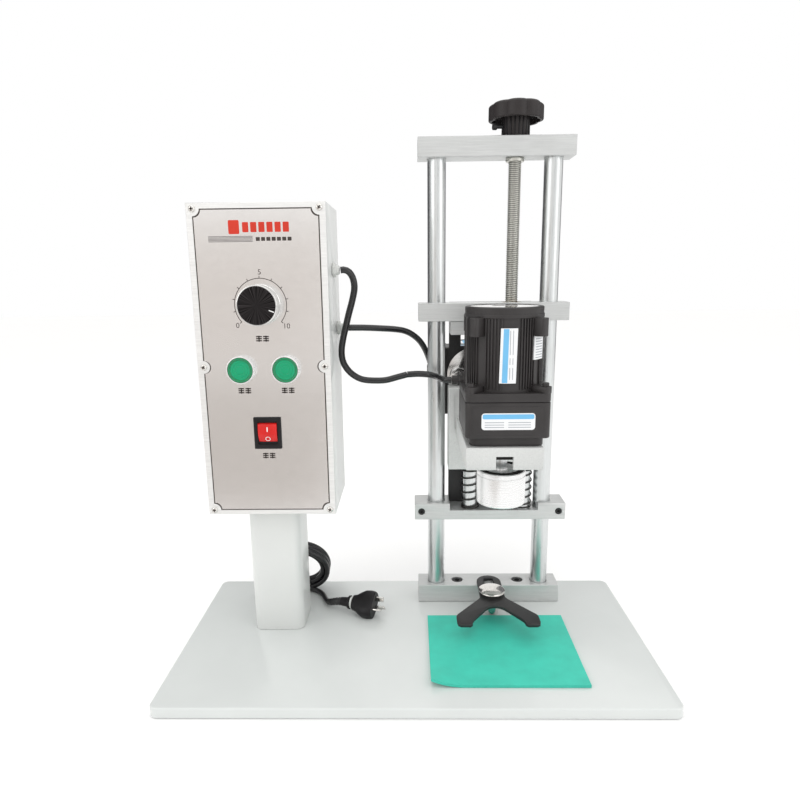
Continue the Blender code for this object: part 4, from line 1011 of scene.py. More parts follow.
def coilRoute():
    # five turns that lie in a bundle two layers deep, each moving to its next place over a short stretch
    lean = math.radians(cords["coilLean"])
    centre = Vector(cords["coilCentre"])
    across, upward = Vector((1, 0, 0)), Vector((0, -math.sin(lean), math.cos(lean)))
    forward = Vector((0, -math.cos(lean), -math.sin(lean)))
    beds = cords["coilBeds"]
    route = []
    for turned in range(cords["coilFrom"], cords["coilTo"], cords["coilStep"]):
        radius, side = beds[0]
        for (start, end), (nextRadius, nextSide) in zip(cords["coilChanges"], beds[1:]):
            share = min(1, max(0, (turned - start) / (end - start)))
            share = share * share * (3 - 2 * share)
            radius += (nextRadius - radius) * share
            side += (nextSide - side) * share
        angle = math.radians(turned)
        route.append(tuple(centre + radius * (math.cos(angle) * across + math.sin(angle) * upward) + side * forward))
    return route[1:]


def smoothPath(route, spacing=3 * mm):
    knots = [Vector(p) * mm for p in route]
    knots = [2 * knots[0] - knots[1], *knots, 2 * knots[-1] - knots[-2]]
    fine = []
    for a, b, c, d in zip(knots, knots[1:], knots[2:], knots[3:]):
        for i in range(16):
            t = i / 16
            fine.append(b + 0.5 * t * (c - a + t * (2 * a - 5 * b + 4 * c - d + t * (3 * (b - c) + d - a))))
    fine.append(knots[-2])
    path, walked = [fine[0]], 0.0
    for a, b in zip(fine, fine[1:]):
        walked += (b - a).length
        if walked >= spacing:
            path.append(b)
            walked = 0.0
    if (path[-1] - fine[-1]).length > 0.3 * spacing:
        path.append(fine[-1])
    else:
        path[-1] = fine[-1]
    return path


def tubeMesh(name, path, radii, sides=20):
    # a tube with closed ends; its UV runs round it and along it in metres
    shape = bmesh.new()
    layer = shape.loops.layers.uv.new("sheath")
    tangents = [(b - a).normalized() for a, b in zip(path, path[1:])]
    tangents = [tangents[0]] + [(a + b).normalized() for a, b in zip(tangents, tangents[1:])] + [tangents[-1]]
    normal = tangents[0].orthogonal().normalized()
    rings, lengths = [], [0.0]
    for i, (point, tangent) in enumerate(zip(path, tangents)):
        normal = (normal - normal.dot(tangent) * tangent).normalized()
        side = tangent.cross(normal)
        radius = radii[i] if isinstance(radii, list) else radii
        rings.append([
            shape.verts.new(point + radius * (math.cos(2 * math.pi * k / sides) * normal
                                              + math.sin(2 * math.pi * k / sides) * side)) for k in range(sides)
        ])
        if i:
            lengths.append(lengths[-1] + (point - path[i - 1]).length)
    for i, (low, high) in enumerate(zip(rings, rings[1:])):
        for k in range(sides):
            j = (k + 1) % sides
            face = shape.faces.new((low[k], low[j], high[j], high[k]))
            spots = ((k, i), (k + 1, i), (k + 1, i + 1), (k, i + 1))
            for loop, (around, ahead) in zip(face.loops, spots):
                loop[layer].uv = (around / sides, lengths[ahead])
    shape.faces.new(list(reversed(rings[0])))
    shape.faces.new(rings[-1])
    return meshFrom(name, shape, 50)


def reliefMesh(name, path, length, thick, thin):
    # a ribbed, tapering sleeve over the first stretch of a cord
    total, radii, stretch = 0.0, [], [path[0]]
    for a, b in zip(path, path[1:]):
        if total + (b - a).length > length:
            break
        total += (b - a).length
        stretch.append(b)
    fine = smoothPath([p / mm for p in stretch], 0.5 * mm)
    for i in range(len(fine)):
        share = i / (len(fine) - 1)
        rib = 0.45 * mm if (i // 3) % 2 == 0 and share > 0.12 else 0
        radii.append(thick + (thin - thick) * share + rib * (1 - share * 0.6))
    return tubeMesh(name, fine, radii, 24)


plug = {
    "place": (-86.6 * mm, 51.2 * mm, 21.4 * mm), "yaw": -17, "pitch": -2.5, "roll": 34,
    "sides": 40, "squareness": 0.7,
    "sections": ((0, 4.6, 4.6), (9, 5.4, 5), (9.6, 7.4, 6.2), (12, 7.8, 6.4), (12.6, 6.3, 5.6), (15, 6.3, 5.6),
                 (15.6, 8.4, 6.8), (20, 9.5, 7.2), (24, 12.6, 8.2), (30, 16, 9.3), (36, 16.6, 9.8), (41, 15.8, 9.8),
                 (42.5, 15, 9.2)),  # along, half width and half height
    "pins": ((0, -4.6, 0, 12), (-6.6, 3.0, 30, 10.5), (6.6, 3.0, -30, 10.5)),  # across, up, lean and length
    "band": [(5.2, -1.1, 0), (6.9, -1.1, 0.2), (6.9, 1.1, 0.2), (5.2, 1.1, 0)],
}


def buildPlug():
    # a moulded plug, tapering from its collar to a broad face
    placed = Matrix.Translation(plug["place"])
    for lean, axis in (("yaw", "Z"), ("pitch", "Y"), ("roll", "X")):
        placed = placed @ Matrix.Rotation(math.radians(plug[lean]), 4, axis)
    shape = bmesh.new()
    sides, rings = plug["sides"], []
    for along, wide, tall in plug["sections"]:
        ring = []
        for i in range(sides):
            angle = 2 * math.pi * i / sides
            across, up = (math.copysign(abs(v) ** plug["squareness"], v) for v in (math.cos(angle), math.sin(angle)))
            ring.append(shape.verts.new((along * mm, wide * mm * across, tall * mm * up)))
        rings.append(ring)
    for near, far in zip(rings, rings[1:]):
        for i in range(sides):
            j = (i + 1) % sides
            shape.faces.new((near[i], near[j], far[j], far[i]))
    shape.faces.new(rings[0])
    shape.faces.new(rings[-1])
    shape.transform(placed)
    moulding = shapedPiece("plug_body", shape, "blackPlastic", "base", ("mains_plug",), 28)
    band = latheShape(plug["band"], (0, 0, 0), "right", 40)
    band.transform(placed @ Matrix.Translation((13.8 * mm, 0, 0)))
    ring = shapedPiece("plug_band", band, "greyPlastic", "base")
    pins = []
    for across, up, lean, length in plug["pins"]:
        pin = blockShape((-2, -0.8, -2.9), (length, 0.8, 2.9), 0, 0.3)
        pin.transform(placed @ Matrix.Translation((42.5 * mm, across * mm, up * mm))
                      @ Matrix.Rotation(math.radians(lean), 4, "X"))
        pins.append(pin)
    blades = shapedPiece("plug_pins", joinShapes(pins), "nickel", "base")
    return moulding, blades, ring


def buildCords():
    moulding, blades, band = buildPlug()
    path = smoothPath(upperRoute + coilRoute() + lowerRoute)
    mesh = reliefMesh("mains_relief", path, cords["reliefLength"], 4.6 * mm, 3.5 * mm)
    relief = newPiece("mains_relief", mesh, "mainsSheath", "base")
    backwards = [path[-1] + Vector((4 * mm, 0, 0))] + path[::-1]
    mesh = reliefMesh("plug_relief", backwards, cords["reliefLength"], 4.6 * mm, 3.4 * mm)
    grip = newPiece("plug_relief", mesh, "mainsSheath", "base")
    mains = newPiece("mains_lead", tubeMesh("mains_lead", path, cords["mainsRadius"]), "mainsSheath", "base",
                     ("mains_cord_upper", "mains_cord_coil", "mains_cord_lower"))
    sleeved = (
        ("head_cable", headRoute, "headLength", "head_motor_cable", "base", "carriage",
         (-75 * mm, 40 * mm, 330 * mm), (-5 * mm, 53 * mm, 296 * mm)),
        ("head_cable_tail", headEndRoute, "headEndLength", "head_motor_cable_end", "carriage", "head",
         (-4.6 * mm, 53.1 * mm, 296.2 * mm), (42.2 * mm, 27.6 * mm, 294 * mm)),
        ("lift_cable", liftRoute, "liftLength", "lift_motor_cable", "base", "carriage",
         (-73 * mm, 52 * mm, 348.6 * mm), (27 * mm, 149 * mm, 283 * mm)),
    )
    for name, route, lengthName, node, fixed, moving, start, end in sleeved:
        path = smoothPath(route)
        measured = sum((b - a).length for a, b in zip(path, path[1:]))
        print(name, "measures", round(measured, 4))
        mesh = tubeMesh(name, path, cords["cableRadius"])
        cable = newPiece(name, mesh, "cableSleeve", None, (node,))
        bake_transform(cable)


buildCords()
print("cords ready")


# Base, post and control box

panel = {
    "lineWidth": 1.15 * mm, "cornerNotch": 7 * mm, "sideNotch": 6.4 * mm, "sheetThick": 0.22 * mm,
    "lineThick": 0.12 * mm, "inkThick": 0.06 * mm, "sunk": 0.1 * mm, "screwRadius": 3.4, "screwTall": 1.9,
    "screwSpread": 61 * mm, "screwHeights": (163.8 * mm, 315.7 * mm, 468.5 * mm), "panelSeed": 4, "coverSeed": 9,
}


def buildBase():
    low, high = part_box("base_plate")
    shapedPiece("base_plate_painted", boxShape(low, high, 8 * mm, 1.4 * mm, 2, 12, 4), "basePaint", "base",
                ("base_plate",))
    low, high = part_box("post")
    shapedPiece("post_painted", boxShape(low, high, 9 * mm, 0.3 * mm, 2, 12, 2), "boxPaint", "base",
                ("post",))
    softenNodes((
        ("control_box_shell rear_cover", "boxPaint", "white_paint", 0.6, 3),
        ("front_panel", "panelRim", "panel_steel", 0.7, 3),
        ("head_cable_gland lift_cable_gland", "greyPlastic", "grey_plastic", 0.5, 3),
        ("mains_cord_gland", "blackPlastic", "black_plastic", 0.4, 3),
    ))


def screwHead(radius, height):
    # a domed cross-recess head that faces the front, with its seat at the origin
    section = [(0, height * 0.45, 0), (radius * 0.28, height * 0.5, 0), (radius * 0.3, height * 0.98, 0.1),
               (radius * 0.62, height * 0.92, 0.6), (radius * 0.93, height * 0.5, 0.5), (radius, 0, 0), (0, 0, 0)]
    return latheShape(section, (0, 0, 0), "front", 28)


# dark cross blocks laid on the screw heads: painted shade in the cross recesses
def crossMark(radius, height):
    arms = []
    for turn in (0, math.pi / 2):
        arm = blockShape((-radius, -(height + 0.03), -0.42), (radius, -height * 0.9, 0.42), 0, 0)
        arm.transform(Matrix.Rotation(turn + 0.3, 4, "Y"))
        arms.append(arm)
    return joinShapes(arms)


def buildPanelScrews(middle):
    front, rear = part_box("front_panel")[0].y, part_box("rear_cover")[1].y
    spots = [(middle + side * panel["screwSpread"], front, z) for side in (-1, 1) for z in panel["screwHeights"]]
    rearSpots = [(2 * middle - x, -rear, z) for x, _, z in spots]
    toRear = Matrix.Rotation(math.pi, 4, "Z") @ Matrix.Translation((-2 * middle, 0, 0))
    head = patternObject("screw_head_one", screwHead(panel["screwRadius"], panel["screwTall"]))
    cross = patternObject("cross_one", crossMark(panel["screwRadius"] * 0.55, panel["screwTall"] - 0.02))
    for name, pattern, seed, finish, points, placed in (
        ("panel_screws", head, panel["panelSeed"], "nickel", spots, facing["up"]),
        ("cover_screws", head, panel["coverSeed"], "nickel", rearSpots, toRear),
        # the dark crosses are painted shade in the recesses of the panel screws
        ("panel_screw_slots", cross, panel["panelSeed"], "darkInk", spots, facing["up"]),
    ):
        mesh = grownMesh(name, "screws", {"Head": pattern, "Seed": seed, "Material": finishes[finish]}, points)
        mesh.transform(placed)
        newPiece(name, mesh, finish, "base")
    bpy.data.objects.remove(head)
    bpy.data.objects.remove(cross)


def sheetOutline(inset, middle):
    # a rectangle with its corners and sides hollowed round the screws
    left, right = middle - panel["screwSpread"] + inset, middle + panel["screwSpread"] - inset
    low, half, high = panel["screwHeights"]
    low, high = low + inset, high - inset
    corner, side = panel["cornerNotch"], panel["sideNotch"]
    line = []
    for x, z, radius, start, end, steps in (
        (left, low, corner, 90, 0, 10), (right, low, corner, 180, 90, 10), (right, half, side, 270, 90, 16),
        (right, high, corner, 270, 180, 10), (left, high, corner, 0, -90, 10), (left, half, side, 90, -90, 16),
    ):
        for i in range(steps + 1):
            angle = math.radians(start + (end - start) * i / steps)
            line.append((x + radius * math.cos(angle), z + radius * math.sin(angle)))
    return line


def flatPlate(outline, back, front):
    shape = bmesh.new()
    face = shape.faces.new([shape.verts.new((x, back, z)) for x, z in outline])
    grown = bmesh.ops.extrude_face_region(shape, geom=[face])
    moved = [v for v in grown["geom"] if isinstance(v, bmesh.types.BMVert)]
    bmesh.ops.translate(shape, vec=(0, front - back, 0), verts=moved)
    return shape


def buildPanelSheet(middle):
    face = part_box("front_panel")[0].y
    for name, inset, thick, finish in (
        ("panel_border_line", 0, panel["lineThick"], "darkInk"),
        ("panel_polished_sheet", panel["lineWidth"], panel["sheetThick"], "panelSheet"),
    ):
        plate = flatPlate(sheetOutline(inset, middle), face + panel["sunk"], face - thick)
        shapedPiece(name, plate, finish, "base")
    return face - panel["sheetThick"]


printing = {  # millimetres, X from the knob's centre line and Z from the ground
    "titleBlock": (-27, -16.5, 444.6, 457.6), "titleMarks": (-13.5, -7.6, 446.2, 455.6), "titleMarkStep": 7.8,
    "greyBar": (-47, -4, 437.3, 437.9), "greyBarStep": 1.2, "dashes": (-1, 2.9, 438, 441.6), "dashStep": 5.1,
    "labelPlaces": ((0, 344), (-21, 291.6), (23, 291.6), (0, 223.3)),
}
dial = {
    "startAngle": -40, "sweep": 260, "marks": 11, "markRadius": 25.6 * mm, "lineRadii": (25.3 * mm, 26.0 * mm),
    "lineSteps": 80, "figureSize": 7.2 * mm,
    "figures": (("0", -130.2, 31.2 * mm), ("5", 1, 31.4 * mm), ("10", 130.6, 32.4 * mm)),
}


def inkBlocks(name, face, blocks, finish):
    # thin printed rectangles, each (left, right, low, high) in millimetres
    shapes = []
    for left, right, low, high in blocks:
        edge = min(right - left, high - low) * 0.12
        shapes.append(boxShape((left * mm, face - panel["inkThick"], low * mm),
                               (right * mm, face + 0.05 * mm, high * mm), edge * mm, 0, 1, 3))
    return shapedPiece(name, joinShapes(shapes), finish, "base")


def numberMesh(name, figures, size, x, z, face):
    curve = bpy.data.curves.new(name, "FONT")
    curve.body = figures
    curve.size = size
    curve.extrude = panel["inkThick"] / 2
    curve.align_x = "CENTER"
    curve.align_y = "CENTER"
    obj = bpy.data.objects.new(name, curve)
    bpy.context.scene.collection.objects.link(obj)
    bpy.context.view_layer.update()
    mesh = bpy.data.meshes.new_from_object(obj.evaluated_get(bpy.context.evaluated_depsgraph_get()))
    bpy.data.objects.remove(obj)
    mesh.transform(Matrix.Translation((x, face - panel["inkThick"] / 2, z)) @ facing["front"])
    return mesh


def buildMarks(face):
    # plain blocks and lines in the places of the panel's lettering
    middle = knobCentre.x / mm

    def row(block, count, across, upward=0):
        left, right, low, high = printing[block]
        return [(middle + left + i * across, middle + right + i * across, low + i * upward, high + i * upward)
                for i in range(count)]

    title = row("titleBlock", 1, 0) + row("titleMarks", 6, printing["titleMarkStep"])
    inkBlocks("title_block", face, title, "redInk")
    inkBlocks("title_bar", face, row("greyBar", 5, 0, printing["greyBarStep"]), "greyInk")
    inkBlocks("title_dashes", face, row("dashes", 7, printing["dashStep"]), "darkInk")
    labels = []
    for shiftX, z in printing["labelPlaces"]:
        for x in (middle + shiftX - 3.5, middle + shiftX + 3.5):
            labels += [(x - 2.9, x + 2.9, z + line - 0.65, z + line + 0.65) for line in (-2, 0.1, 2.1)]
            labels.append((x - 0.6, x + 0.6, z - 3, z + 3))
    inkBlocks("control_labels", face, labels, "darkInk")


def buildDial(face):
    centre = knobCentre
    start, thick = math.radians(dial["startAngle"]), panel["inkThick"]
    mark = boxShape((0, -0.36 * mm, -thick / 2), (2.4 * mm, 0.36 * mm, thick / 2), 0, 0)
    placed = Matrix.Translation((centre.x, face - thick / 2, centre.z)) @ facing["front"]
    marks = arcCopies("dial_ticks", mark, dial["marks"], dial["markRadius"], start,
                      math.radians(dial["sweep"] / (dial["marks"] - 1)), "darkInk", placed)
    newPiece("dial_ticks", marks, "darkInk", "base")
    shape = bmesh.new()
    steps = dial["lineSteps"]
    for layer in (-thick, 0.02 * mm):
        for radius in dial["lineRadii"]:
            for i in range(steps + 1):
                angle = start + math.radians(dial["sweep"]) * i / steps
                shape.verts.new((centre.x + radius * math.cos(angle), face + layer,
                                 centre.z + radius * math.sin(angle)))
    shape.verts.ensure_lookup_table()
    count = steps + 1
    for i in range(steps):
        inner, outer, backInner, backOuter = (k * count + i for k in range(4))
        for a, b in ((inner, outer), (backOuter, backInner), (backInner, inner), (outer, backOuter)):
            shape.faces.new([shape.verts[k] for k in (a, b, b + 1, a + 1)])
    for i in (0, steps):
        shape.faces.new([shape.verts[k * count + i] for k in (0, 1, 3, 2)])
    shapedPiece("dial_arc", shape, "darkInk", "base")
    for figures, angle, distance in dial["figures"]:
        lean = math.radians(90 - angle)
        name = "dial_number_" + figures
        mesh = numberMesh(name, figures, dial["figureSize"], centre.x + distance * math.cos(lean),
                          centre.z + distance * math.sin(lean), face)
        newPiece(name, mesh, "darkInk", "base")


knob = {"seat": -12 * mm, "ridges": 96, "ridgeRadius": 19.5 * mm, "pointerTurn": -21}


def buildKnob():
    place = (knobCentre.x, knob["seat"], knobCentre.z)
    depth = (knob["seat"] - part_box("speed_knob")[0].y) / mm
    placed = Matrix.Translation(place) @ facing["front"]
    side = [(0, 0.6, 0), (20.2, 0.6, 0.3), (20.1, 3, 0.2), (19.5, 3.4, 0.2), (19.4, depth - 1.4, 0.2),
            (19.75, depth - 1, 0.2), (19.6, depth - 0.2, 0.4), (18.6, depth, 0.2), (18.3, depth - 0.5, 0),
            (0, depth - 0.5, 0)]
    turnedPiece("knob_skirt", side, place, "turnedSteel", "dial", ("speed_knob",), "front")
    face = [(0, depth - 0.55, 0), (18.25, depth - 0.55, 0), (18.25, depth - 0.08, 0.15), (16, depth - 0.12, 0),
            (0, depth - 0.2, 0)]
    turnedPiece("knob_face", face, place, "knobFace", "dial", faces="front")
    ridge = blockShape((-0.3, -0.22, 3.6), (0.25, 0.22, depth - 1.8), 0, 0.08, 2, 1, 1)
    ridges = arcCopies("knob_ridges", ridge, knob["ridges"], knob["ridgeRadius"], 0, 2 * math.pi / knob["ridges"],
                       "turnedSteel", placed)
    newPiece("knob_ridges", ridges, "turnedSteel", "dial")
    pointer = blockShape((12.6, -0.45, depth - 0.15), (18, 0.45, depth + 0.02), 0, 0)
    pointer.transform(placed @ Matrix.Rotation(math.radians(knob["pointerTurn"]), 4, "Z"))
    shapedPiece("knob_pointer", pointer, "whiteInk", "dial")


button = {  # sections as (radius, height, rounding) in millimetres, out from the panel's face
    "seat": -12 * mm,
    "bezel": [(13.0, 0.25, 0), (14, 0.25, 0.2), (14, 3.4, 0.3), (13.9, 7.7, 0.4), (13.5, 8.2, 0.2),
              (12.75, 8.2, 0.2), (12.7, 7.6, 0.2), (12.7, 1.6, 0)],
    "lens": [(0, 4.7, 0), (9.9, 4.7, 0), (9.9, 7.5, 0), (9.5, 7.85, 0.2), (8.2, 7.9, 0.2), (7.9, 7.65, 0.1),
             (7.5, 7.65, 0.1), (7.2, 8.0, 0.2), (5.0, 8.15, 0.2), (4.7, 7.9, 0.1), (4.3, 7.9, 0.1),
             (4.0, 8.2, 0.2), (0, 8.3, 0)],
    "rim": [(9.95, 4.7, 0), (12.45, 4.7, 0), (12.45, 7.9, 0.4), (11.9, 8.3, 0.3), (11.2, 8.2, 0.3),
            (10.9, 7.6, 0.2), (9.95, 7.5, 0)],
    "stem": [(0, -12, 0), (5, -12, 0.4), (5, 4.75, 0), (0, 4.75, 0)],
}


def buildButtons():
    for name in ("start", "stop"):
        low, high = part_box(name + "_button")
        centre = ((low.x + high.x) / 2, button["seat"], (low.z + high.z) / 2)
        turnedPiece(name + "_bezel", button["bezel"], centre, "chuckMetal", "base", faces="front")
        softenedCopy(name + "_button_body", "turnedSteel", 0.2 * mm, 2)
        for part, section, finish, replaced, segments in (
            ("lens", "lens", "greenCap", (name + "_button",), 96), ("lens_rim", "rim", "greenRim", (), 96),
            ("stem", "stem", "greenRim", (), 40),
        ):
            turnedPiece(f"{name}_{part}", button[section], centre, finish, name + "_cap", replaced,
                        "front", segments)


rocker = {"pivotY": -8 * mm, "tilt": 9, "slope": 10.4, "markHeight": 5.2 * mm}


def buildSwitch():
    softenedCopy("power_switch_body", "blackPlastic", 0.7 * mm, 3)
    softenedCopy("power_rocker", "redRocker", 0.6 * mm, 3)
    low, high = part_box("power_switch_body")
    pivot = (Matrix.Translation(((low.x + high.x) / 2, rocker["pivotY"], (low.z + high.z) / 2))
             @ Matrix.Rotation(math.radians(rocker["tilt"]), 4, "X"))
    slope, height = math.radians(rocker["slope"]), rocker["markHeight"]
    line = blockShape((-0.5, -0.06, -2.4), (0.5, 0.12, 2.4), 0, 0)
    line.transform(pivot @ Matrix.Translation((0, -6.27 * mm, height)) @ Matrix.Rotation(-slope, 4, "X"))
    ring = latheShape([(2.0, 0, 0), (2.6, 0, 0), (2.6, 0.12, 0), (2.0, 0.12, 0)], (0, 0, 0), "front", 36)
    ring.transform(pivot @ Matrix.Translation((0, -6.22 * mm, -height)) @ Matrix.Rotation(slope, 4, "X"))
    shapedPiece("rocker_marks", joinShapes([line, ring]), "whiteInk", "rocker")


def buildBox():
    buildBase()
    middle = middleOf("front_panel").x
    buildPanelScrews(middle)
    face = buildPanelSheet(middle)
    buildMarks(face)
    buildDial(face)
    # a black sheet over the switch's place on the polished sheet: painted shade for the dark recess round the rocker
    low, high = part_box("power_switch_body")
    inkBlocks("switch_backing", face, [(low.x / mm + 2, high.x / mm - 2, low.z / mm + 2, high.z / mm - 2)],
              "blackPlastic")
    buildKnob()
    buildButtons()
    buildSwitch()


buildBox()
print("control box ready")


# Column, carriage and lift

def buildRods():
    for side in ("left", "right"):
        for kind, radius, chamfer, body, segments in (("rod", 10, 0.8, "base", 96), ("post", 8.5, 1, "carriage", 72)):
            node = f"guide_{kind}_{side}"
            low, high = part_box(node)
            tall = (high.z - low.z) / mm
            section = [(0, 0, 0), (radius, 0, 0), (radius, tall - chamfer, 0), (radius - 0.8, tall, 0.2),
                       (0, tall, 0)]
            turnedPiece(node + "_ground", section, middleOf(node, low.z), "chrome", body, (node,),
                        segments=segments)


def buildBars():
    softenNodes((
        ("base_block top_plate middle_bar lower_bar hanger_block", "aluminium", "machined_aluminium", 0.6, 3),
        ("base_block_bolt_left base_block_bolt_right clamp_screw_left clamp_screw_right", "blackSteel",
         "black_steel", 0.35, 3),
        ("lift_back_plate", "blackSteel", "black_steel", 0.4, 2),
        ("lead_screw_bearing", "zincSteel", "bronze", 0.3, 2),
        ("lead_screw_nut", "bronze", "bronze", 0.3, 2),
    ))


spring = {"turns": 7.5, "wire": 0.78 * mm, "closedShare": 0.17, "steps": 40, "endGap": 0.85 * mm}


def buildSprings():
    # the coils are mirrored, so they wind to the left
    for side, slack, spin in (("left", 0.3 * mm, 0.6), ("right", 0.8 * mm, 2.1)):
        node, name = f"return_spring_{side}", f"spring_{side}"
        low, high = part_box(node)
        mesh = grownMesh(name, "coil", {
            "Turns": spring["turns"], "Radius": (high.x - low.x) / 2 - slack, "Wire": spring["wire"],
            "Height": high.z - low.z - 2 * spring["endGap"], "ClosedShare": spring["closedShare"],
            "Spin": spin, "Steps": spring["steps"], "Material": finishes["springSteel"],
        })
        mesh.transform(Matrix.Translation(middleOf(node, low.z + spring["endGap"])) @ Matrix.Scale(-1, 4, (1, 0, 0)))
        mesh.flip_normals()
        coil = newPiece(name, mesh, "springSteel", None, (node,))
        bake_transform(coil)


thread = {"core": 6.1, "collar": 7, "collarTall": 28, "ridge": 0.6 * mm, "ridgeOut": 0.3, "turns": 59.0,
          "steps": 28, "below": 1.6 * mm, "shorter": 31}


def buildLeadScrew():
    low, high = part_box("lead_screw")
    centre = middleOf("lead_screw", low.z)
    tall = (high.z - low.z) / mm
    core, wide, step = thread["core"], thread["collar"], tall - thread["collarTall"]
    section = [(0, 0, 0), (core - 1, 0, 0.3), (core, 1.2, 0.2), (core, step, 0.1), (wide, step, 0.1),
               (wide, tall, 0), (0, tall, 0)]
    # the core takes the dark root finish, painted shade between the thread's ridges
    turnedPiece("lead_screw_core", section, centre, "shadedThreadRoot", "height_screw", ("lead_screw",),
                segments=48)
    for number, spin in (("one", 0), ("two", math.pi)):
        name = "screw_thread_" + number
        mesh = grownMesh(name, "coil", {
            "Turns": thread["turns"], "Radius": (core + thread["ridgeOut"]) * mm, "Wire": thread["ridge"],
            "Height": (tall - thread["shorter"]) * mm, "ClosedShare": 0.0, "Spin": spin, "Steps": thread["steps"],
            "Material": finishes["zincSteel"],
        })
        mesh.transform(Matrix.Translation(centre + Vector((0, 0, thread["below"]))))
        newPiece(name, mesh, "zincSteel", "height_screw")


wheel = {"lobes": 8, "lobeDepth": 2.6, "lobesFrom": 12, "under": 563, "hubRibs": 20, "setScrewHeight": 557.6 * mm}


def buildHandwheel():
    low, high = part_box("handwheel")
    centre = middleOf("handwheel")
    top, under, seat = high.z / mm, wheel["under"], low.z / mm

    def lobed(angle, radius):
        share = max(0, (radius - wheel["lobesFrom"]) / 17)
        return (abs(math.cos(wheel["lobes"] * angle / 2 + 0.5)) ** 0.8 - 1) * wheel["lobeDepth"] * share

    section = [(0, top - 2.2, 0), (7, top - 2.2, 0), (7.6, top - 1, 0.5), (20, top - 0.2, 2), (26, top, 2),
               (29, top - 2.2, 1.6), (29, under + 1, 0.9), (28, under, 0.5), (25.6, under, 0.4),
               (25.2, under + 7, 0.8), (15.2, under + 7.5, 0.8), (14.2, seat + 0.8, 0), (13.6, seat, 0),
               (0, seat, 0)]
    turnedPiece("handwheel_rim", section, centre, "wheelPlastic", "height_screw", ("handwheel",),
                segments=192, outline=lobed)
    rib = blockShape((-0.8, -0.85, seat + 0.7), (0.75, 0.85, under + 7.3), 0, 0.35, 2, 1, 2)
    ribs = arcCopies("hub_ribs", rib, wheel["hubRibs"], 14.2 * mm, 0.1, 2 * math.pi / wheel["hubRibs"],
                     "blackPlastic", Matrix.Translation(centre))
    newPiece("hub_ribs", ribs, "blackPlastic", "height_screw")
    section = [(0, 13, 0), (2.2, 13, 0), (2.2, 20.5, 0), (3.6, 21, 0.4), (3.6, 25.2, 0.5), (1.9, 25.2, 0.1),
               (1.9, 23.6, 0), (0, 23.6, 0)]
    screw = latheShape(section, (0, 0, 0), "right", 32)
    screw.transform(Matrix.Translation((centre.x, centre.y, wheel["setScrewHeight"]))
                    @ Matrix.Rotation(math.radians(188), 4, "Z"))
    shapedPiece("hub_set_screw", screw, "blackSteel", "height_screw")
    collar = [(7.2, 524.0, 0), (9.2, 524.0, 0.3), (9.6, 523.2, 0.2), (9.6, 522.2, 0.2), (7.2, 521.8, 0)]
    turnedPiece("screw_collar", collar, centre, "zincSteel", "height_screw", segments=56)


motor = {  # millimetres; levels run along the motor's own Z
    "half": 40, "can": 38.2, "nose": 35.3, "faceHalf": 33, "faceOut": 0.35, "ribsInGroup": 6, "ribStep": 4.6,
    "boltCircle": 49.2, "labelRadius": 37.2, "labelFace": 38.72,
}
headLevels = {"gearLow": 252.7, "flangeLow": 287.3, "flangeHigh": 295.6, "canHigh": 366.8, "capHigh": 374.6}
liftLevels = {"flangeLow": 0.3, "flangeHigh": 8.3, "canHigh": 68, "capHigh": 81.3}  # above its gearbox


